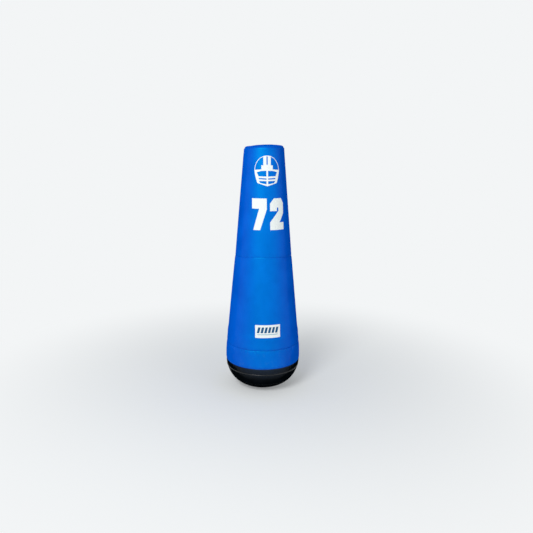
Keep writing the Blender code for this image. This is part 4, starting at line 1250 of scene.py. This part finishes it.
def build_zip_side(finish, side, sign):
    """One side of the zip: a woven tape, half of the coil, and the thread that holds it."""
    length = ZIP_END - ZIP_START + 0.024

    def tape_place(across, up):
        across = 0.0002 + (ZIP_TAPE_WIDTH - 0.0002) * across
        along = (up - 0.5) * length
        ripple = 0.0002 * noise.noise((across * 60.0, along * 40.0, sign))
        return (sign * across, along, ZIP_TAPE_TOP - 0.0002 + ripple)

    tape = bent_sheet(6, 160, tape_place, ZIP_TAPE_WALL - 0.0002)
    tape = add_part(
        f"zip_ribbon_{side}", tape, finish["zip_tape"], (f"zip_tape_{side}",), 60.0,
        place=ZIP_PLACE,
    )

    coil = bmesh.new()
    seam = bmesh.new()
    shift = 0.5 if sign > 0.0 else 0.0
    for index in range(int((ZIP_END - ZIP_START) / COIL_PITCH)):
        along = ZIP_START + (index + 0.5 + shift) * COIL_PITCH
        spot = Matrix.Translation((sign * 0.0016, along, (COIL_TOP + COIL_BOTTOM) / 2.0))
        lean = Matrix.Rotation(sign * radians(8.0), 4, "Z")
        size = Matrix.Diagonal((0.0020, COIL_PITCH * 0.42, 0.0015, 1.0))
        bmesh.ops.create_uvsphere(
            coil, u_segments=8, v_segments=5, radius=1.0, matrix=spot @ lean @ size
        )
        if index % 2 == 0:
            spot = Matrix.Translation((sign * 0.0047, along, ZIP_TAPE_TOP + 0.0001))
            size = Matrix.Diagonal((0.00035, COIL_PITCH * 0.8, 0.00025, 1.0))
            bmesh.ops.create_icosphere(seam, subdivisions=1, radius=1.0, matrix=spot @ size)
    add_part(
        f"zip_teeth_{side}", coil, finish["coil"], (f"zip_coil_{side}",), 70.0,
        place=ZIP_PLACE,
    )
    add_part(f"zip_thread_{side}", seam, finish["thread_black"], sharp=35.0, place=ZIP_PLACE)


def bail():
    """The slider's bail: a flattened arch of strip over the pull's eye."""
    bm = bmesh.new()
    rings = []
    for angle in steps(0.0, pi, 16):
        rise = (BAIL_HEIGHT - SLIDER_TOP + 0.0001) * sin(angle) ** 0.6
        middle = Vector((0.0, BAIL_HALF_LENGTH * -cos(angle) * 0.88, SLIDER_TOP - 0.0006 + rise))
        inward = Vector((0.0, cos(angle), -sin(angle)))
        ring = []
        for corner in range(10):
            turn = tau * corner / 10
            side = Vector((0.0012 * cos(turn), 0.0, 0.0))
            ring.append(bm.verts.new(middle + side + inward * 0.0005 * sin(turn)))
        rings.append(ring)
    for before, after in zip(rings, rings[1:]):
        for corner in range(10):
            beside = (corner + 1) % 10
            bm.faces.new((before[corner], before[beside], after[beside], after[corner]))
    bm.faces.new(rings[0])
    bm.faces.new(rings[-1])
    bmesh.ops.recalc_face_normals(bm, faces=bm.faces)
    return bm


def build_zip(finish):
    """The zip: both its sides, stops, slider and pull."""
    build_zip_side(finish, "left", -1.0)
    build_zip_side(finish, "right", 1.0)
    edge = COIL_WIDTH + 0.0002
    for name, start, node in (
        ("stop_bottom", ZIP_START - GAP - STOP_LENGTH, "zip_bottom_stop"),
        ("stop_top", ZIP_END + GAP, "zip_top_stop"),
    ):
        stop = block((-edge, start, COIL_BOTTOM), (edge, start + STOP_LENGTH, COIL_TOP), 0.0007)
        add_part(name, stop, finish["zinc"], (node,), 60.0, place=ZIP_PLACE)

    end = SLIDER_LENGTH / 2.0
    half = SLIDER_HALF_WIDTH
    neck = half - 0.0018
    outline = [
        (half, end - 0.0022), (neck, end), (-neck, end), (-half, end - 0.0022),
        (-half, -end + 0.0030), (-neck, -end), (neck, -end), (half, -end + 0.0030),
    ]
    roof = COIL_TOP + GAP
    slider = plate([outline], SLIDER_TOP - roof, 1.0)
    bmesh.ops.translate(slider, verts=slider.verts, vec=(0.0, 0.0, roof))
    parts = [round_edges(slider, 0.0005, 2)]
    for near, far in ((-half, 0.0012 - half), (half - 0.0012, half)):
        low = (near, -end + 0.0028, SLIDER_TOP - SLIDER_DROP)
        parts.append(block(low, (far, end - 0.0020, roof + 0.0004), 0.0004, 2))
    parts.append(bail())
    place = ZIP_PLACE @ Matrix.Translation((0.0, ZIP_END - end, 0.0))
    add_part(
        "slider_body", joined(parts), finish["zinc"], ("zip_slider",), 40.0, "slider", place
    )

    outline = rounded(-PULL_HALF_WIDTH, -PULL_LENGTH, PULL_HALF_WIDTH, 0.0010, 0.0022)
    eye = rounded(-0.0030, -0.0075, 0.0030, -0.0006, 0.0014)
    pull = plate([outline, eye], PULL_WALL, 1.0)
    bmesh.ops.translate(pull, verts=pull.verts, vec=(0.0, 0.0, -PULL_WALL / 2.0))
    parts = [round_edges(pull, 0.0003, 2)]
    crest = PULL_WALL / 2.0 + 0.00025
    for index in range(5):
        low = -PULL_LENGTH + 0.0050 + 0.0028 * index
        for near, far in ((-crest, -0.0004), (0.0004, crest)):
            parts.append(block((-0.0030, low, near), (0.0030, low + 0.0012, far), 0.0002, 2))
    place = place @ Matrix.Translation((0.0, 0.0, PULL_AXIS_HEIGHT))
    add_part("pull_tab", joined(parts), finish["zinc"], ("zip_pull",), 40.0, "pull", place)


def build_valve(finish):
    """The valve behind the flap: port ring, threaded collar and fluted cap."""
    lip = 0.0008
    ring = [
        (PORT_BORE, -0.0035), (PORT_HOLE - GAP, -0.0035), (PORT_HOLE - GAP, 0.0006),
        (PORT_LIP - 0.0004, 0.0006), (PORT_LIP, 0.0010),
    ]
    ring += arc(PORT_LIP - lip, 0.0026 - lip, lip, 0.0, 90.0, 4)
    ring += [(PORT_BORE + 0.0006, 0.0026), (PORT_BORE, 0.0021)]

    collar = [
        (COLLAR_BORE, NECK_END), (NECK_RADIUS, NECK_END), (NECK_RADIUS, FLANGE_BOTTOM),
        (FLANGE_RADIUS - 0.0004, FLANGE_BOTTOM), (FLANGE_RADIUS, FLANGE_BOTTOM + 0.0004),
        (FLANGE_RADIUS, FLANGE_TOP - 0.0004), (FLANGE_RADIUS - 0.0004, FLANGE_TOP),
    ]
    for height in steps(FLANGE_TOP, COLLAR_TOP - 0.0006, 44):
        thread = 0.5 - 0.5 * cos(tau * height / 0.0022)
        collar.append((COLLAR_RADIUS - 0.0006 + 0.0006 * thread, height))
    collar += [(COLLAR_RADIUS - 0.0008, COLLAR_TOP), (COLLAR_BORE, COLLAR_TOP)]

    roof = COLLAR_TOP + GAP
    cap = [
        (0.0, roof), (CAP_BORE, roof), (CAP_BORE, CAP_SKIRT_END),
        (CAP_RADIUS - 0.0003, CAP_SKIRT_END), (CAP_RADIUS, CAP_SKIRT_END + 0.0003),
        (CAP_RADIUS, CAP_SKIRT_END + 0.0008), (CAP_RADIUS, CAP_TOP - 0.0018),
    ]
    cap += arc(CAP_RADIUS - 0.0014, CAP_TOP - 0.0014, 0.0014, 15.0, 90.0, 5)
    cap += [(CAP_RADIUS - 0.0042, CAP_TOP - 0.0004), (0.0, CAP_TOP - 0.0004)]
    cap = turned(cap, 144)
    for vertex in cap.verts:
        x, y, z = vertex.co
        if hypot(x, y) > CAP_RADIUS - 0.0001 and z > CAP_SKIRT_END + 0.0005:
            flute = 0.5 + 0.5 * cos(36.0 * atan2(y, x))
            vertex.co.xy *= 1.0 - 0.0005 * flute / hypot(x, y)
    low = (-0.0130, -0.0018, CAP_TOP - 0.0012)
    bar = block(low, (0.0130, 0.0018, CAP_TOP + CAP_BAR_HEIGHT), 0.0009)

    for name, bm, node, body in (
        ("port_rim", turned(ring, 96), "port_ring", "dummy"),
        ("valve_collar", turned(collar), "valve_base", "dummy"),
        ("cap_fluted", joined([cap, bar]), "valve_cap", "cap"),
    ):
        add_part(name, bm, finish["valve"], (node,), 35.0, body, VALVE_PLACE)


def cover_drop(x):
    """How far the cover falls below its tangent plane beside the valve's axis."""
    radius = cone_radius(VALVE_HEIGHT)
    return radius - sqrt(radius * radius - x * x)


def flap_height(x, y):
    """Height of the flap's underside: it clears the cap and comes down towards its edges."""
    share = min((y - FLAP_BOTTOM) / (FLAP_TOP - FLAP_BOTTOM), 1.0)
    edge = FLAP_GAP_BOTTOM + (FLAP_GAP_TOP - FLAP_GAP_BOTTOM) * share
    bulge = BULGE_HEIGHT * (1.0 - ease((hypot(x, y) - BULGE_FLAT) / (BULGE_END - BULGE_FLAT)))
    edge += (0.0002 - edge) * ease((y - FLAP_TOP) / 0.006)
    return edge + bulge - cover_drop(x)


def flap_width(y):
    """Half the flap's width at a height; its lower corners are rounded."""
    up = min(max(y - FLAP_BOTTOM, 0.0), FLAP_CORNER)
    return FLAP_HALF_WIDTH - FLAP_CORNER + sqrt(FLAP_CORNER ** 2 - (FLAP_CORNER - up) ** 2)


def build_flap(finish):
    """The flap over the valve with its sewn margin, stitches, and hook and loop strips."""
    top = FLAP_TOP + FLAP_MARGIN

    def flap_place(across, up):
        y = FLAP_BOTTOM + 0.0002 + (top - FLAP_BOTTOM - 0.0002) * up
        x = (2.0 * across - 1.0) * flap_width(y)
        beside = min(flap_width(y) - abs(x), y - FLAP_BOTTOM, top - y)
        groove = 0.0003 * bell(beside - 0.0045, 0.0012)
        ripple = 0.0005 * noise.noise((x * 38.0, y * 30.0, 0.4))
        return (x, y, flap_height(x, y) + FLAP_WALL - groove + ripple)

    bm = bent_sheet(44, 60, flap_place, FLAP_WALL)
    flap = add_part(
        "flap_cloth", bm, finish["blue"], ("valve_flap",), 60.0, None, VALVE_PLACE
    )
    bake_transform(flap)

    edge = 0.0045
    middle = FLAP_HALF_WIDTH - FLAP_CORNER
    low = FLAP_BOTTOM + FLAP_CORNER
    border = [(FLAP_HALF_WIDTH - edge, FLAP_TOP - 0.003)]
    border += arc(middle, low, FLAP_CORNER - edge, 0.0, -90.0, 8)
    border += arc(-middle, low, FLAP_CORNER - edge, -90.0, -180.0, 8)
    border.append((edge - FLAP_HALF_WIDTH, FLAP_TOP - 0.003))
    rows = (FLAP_TOP + 0.003, FLAP_TOP + 0.009)
    lines = [between((-0.041, row), (0.041, row), 30) for row in rows]
    on_flap = surface_of([flap])
    outward = VALVE_PLACE.to_3x3() @ Vector((0.0, 0.0, 1.0))
    bm = bmesh.new()
    for line in lines + [border]:
        fine = [line[0]]
        for a, b in zip(line, line[1:]):
            fine += between(a, b, max(1, round(math.dist(a, b) / 0.004)))[1:]
        path = []
        for x, y in fine:
            path.append((VALVE_PLACE @ Vector((x, y, flap_height(x, y) + FLAP_WALL)), outward))
        stitch_along(bm, on_flap, path, 0.0042, 0.0032, 0.00035)
    seams = make_object("flap_stitches", bm, finish["thread_blue"])
    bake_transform(seams)

    size = (2.0 * STRIP_HALF_WIDTH, STRIP_HIGH - STRIP_LOW)
    for name, lift, body, node in (
        ("loop_strip", STRIP_LIFT, "dummy", "cover_loop_strip"),
        ("hook_strip", STRIP_LIFT + STRIP_WALL + GAP, "flap", "flap_hook_strip"),
    ):
        def nap_place(across, up, lift=lift):
            x, y = (across - 0.5) * size[0], STRIP_LOW + up * size[1]
            fuzz = 0.00025 * noise.noise((x * 900.0, y * 900.0, lift * 1e4))
            return (x, y, lift + STRIP_WALL + fuzz - cover_drop(x))

        cloth = bent_sheet(48, 12, nap_place, STRIP_WALL)
        cloth = add_part(
            name, cloth, finish["nap"], (node,), 80.0, body, VALVE_PLACE
        )


def paint_solids(finish):
    """Give the solids that stay in view their finishes."""
    for key, names in (
        ("tub", ("ballast_tub", "tub_lid", "fill_plug")), ("concrete", ("ballast_fill",)),
        ("gasket", ("lid_gasket", "plug_seal")), ("valve", ("valve_seat",)),
        ("screw", [f"lid_screw_{number}" for number in range(1, 7)]),
        ("membrane", ("valve_membrane",)),
    ):
        for name in names:
            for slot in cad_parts[name].material_slots:
                slot.material = finish[key]


def seen_directly(tree):
    """One for camera, glossy and transmission rays, which see the backdrop's own colour."""
    shown = 0.0
    for ray in ("Is Camera Ray", "Is Glossy Ray", "Is Transmission Ray"):
        path = add_node(tree, "LightPath", {}, ray)
        shown = add_node(tree, "Math", {0: shown, 1: path}, operation="MAXIMUM")
    return shown


def set_stage():
    """Floor, backdrop colour, camera and lights of the photograph."""
    scene = bpy.context.scene
    scene.view_settings.view_transform = "Standard"

    lens = bpy.data.cameras.new("camera")
    lens.sensor_width = 36.0
    lens.lens = 37.865
    camera = bpy.data.objects.new("camera", lens)
    camera.location = (-0.955, -4.040, 1.805)
    turn = Matrix.Rotation(radians(-13.632), 4, "Z")
    tilt = Matrix.Rotation(radians(90.0 - 11.94), 4, "X")
    camera.rotation_euler = (turn @ tilt @ Matrix.Rotation(CAMERA_ROLL, 4, "Z")).to_euler()
    scene.collection.objects.link(camera)
    scene.camera = camera

    bm = bmesh.new()
    bmesh.ops.create_circle(bm, segments=96, radius=14.0, cap_ends=True)
    # A matt studio floor, which keeps the shadow and fades into the backdrop
    material, tree, shader, place, _ = start_material(
        "studio_floor", ("#eceff0",), 0.9, Specular_IOR_Level=0.0
    )
    away = add_node(tree, "VectorMath", {0: place}, "Value", operation="LENGTH")
    span = {0: away, 1: 0.45, 2: 2.6, 3: 0.25, 4: 1.0}
    fade = add_node(tree, "MapRange", span, interpolation_type="SMOOTHSTEP")
    fade = add_node(tree, "Math", {0: fade, 1: seen_directly(tree)}, operation="MULTIPLY")
    glow = add_node(tree, "Emission", {"Color": BACKDROP, "Strength": 1.0})
    both = add_node(tree, "MixShader", {0: fade, 1: shader.outputs[0], 2: glow})
    tree.links.new(both, tree.nodes["Material Output"].inputs["Surface"])
    floor = make_object("floor", bm, material)

    world = bpy.data.worlds.new("studio")
    scene.world = world
    world.use_nodes = True
    tree = world.node_tree
    fill = add_node(tree, "Background", {"Color": "#f4f7fa", "Strength": 0.50})
    seen = add_node(tree, "Background", {"Color": BACKDROP, "Strength": 1.0})
    both = add_node(tree, "MixShader", {0: seen_directly(tree), 1: fill, 2: seen})
    tree.links.new(both, tree.nodes["World Output"].inputs["Surface"])

    for name, azimuth, elevation, distance, size, power in (
        ("key", -37.0, 37.0, 6.0, 2.4, 200.0),
        ("fill", 40.0, 15.0, 5.0, 2.8, 14.0),
    ):
        light = bpy.data.lights.new(name, "AREA")
        light.shape = "DISK"
        light.size = size
        light.energy = power
        lamp = bpy.data.objects.new(name, light)
        turn, lift = radians(azimuth), radians(elevation)
        away = Vector((sin(turn) * cos(lift), -cos(turn) * cos(lift), sin(lift)))
        lamp.location = Vector((0.0, 0.0, 0.9)) + away * distance
        lamp.rotation_euler = away.to_track_quat("Z", "Y").to_euler()
        scene.collection.objects.link(lamp)


finish = make_finishes()
cover = surface_of(build_cloth(finish))
build_stitching(finish, cover)
build_boot_trim(finish)
build_prints(finish, cover)
build_inner(finish)
build_zip(finish)
build_valve(finish)
build_flap(finish)
paint_solids(finish)
set_stage()
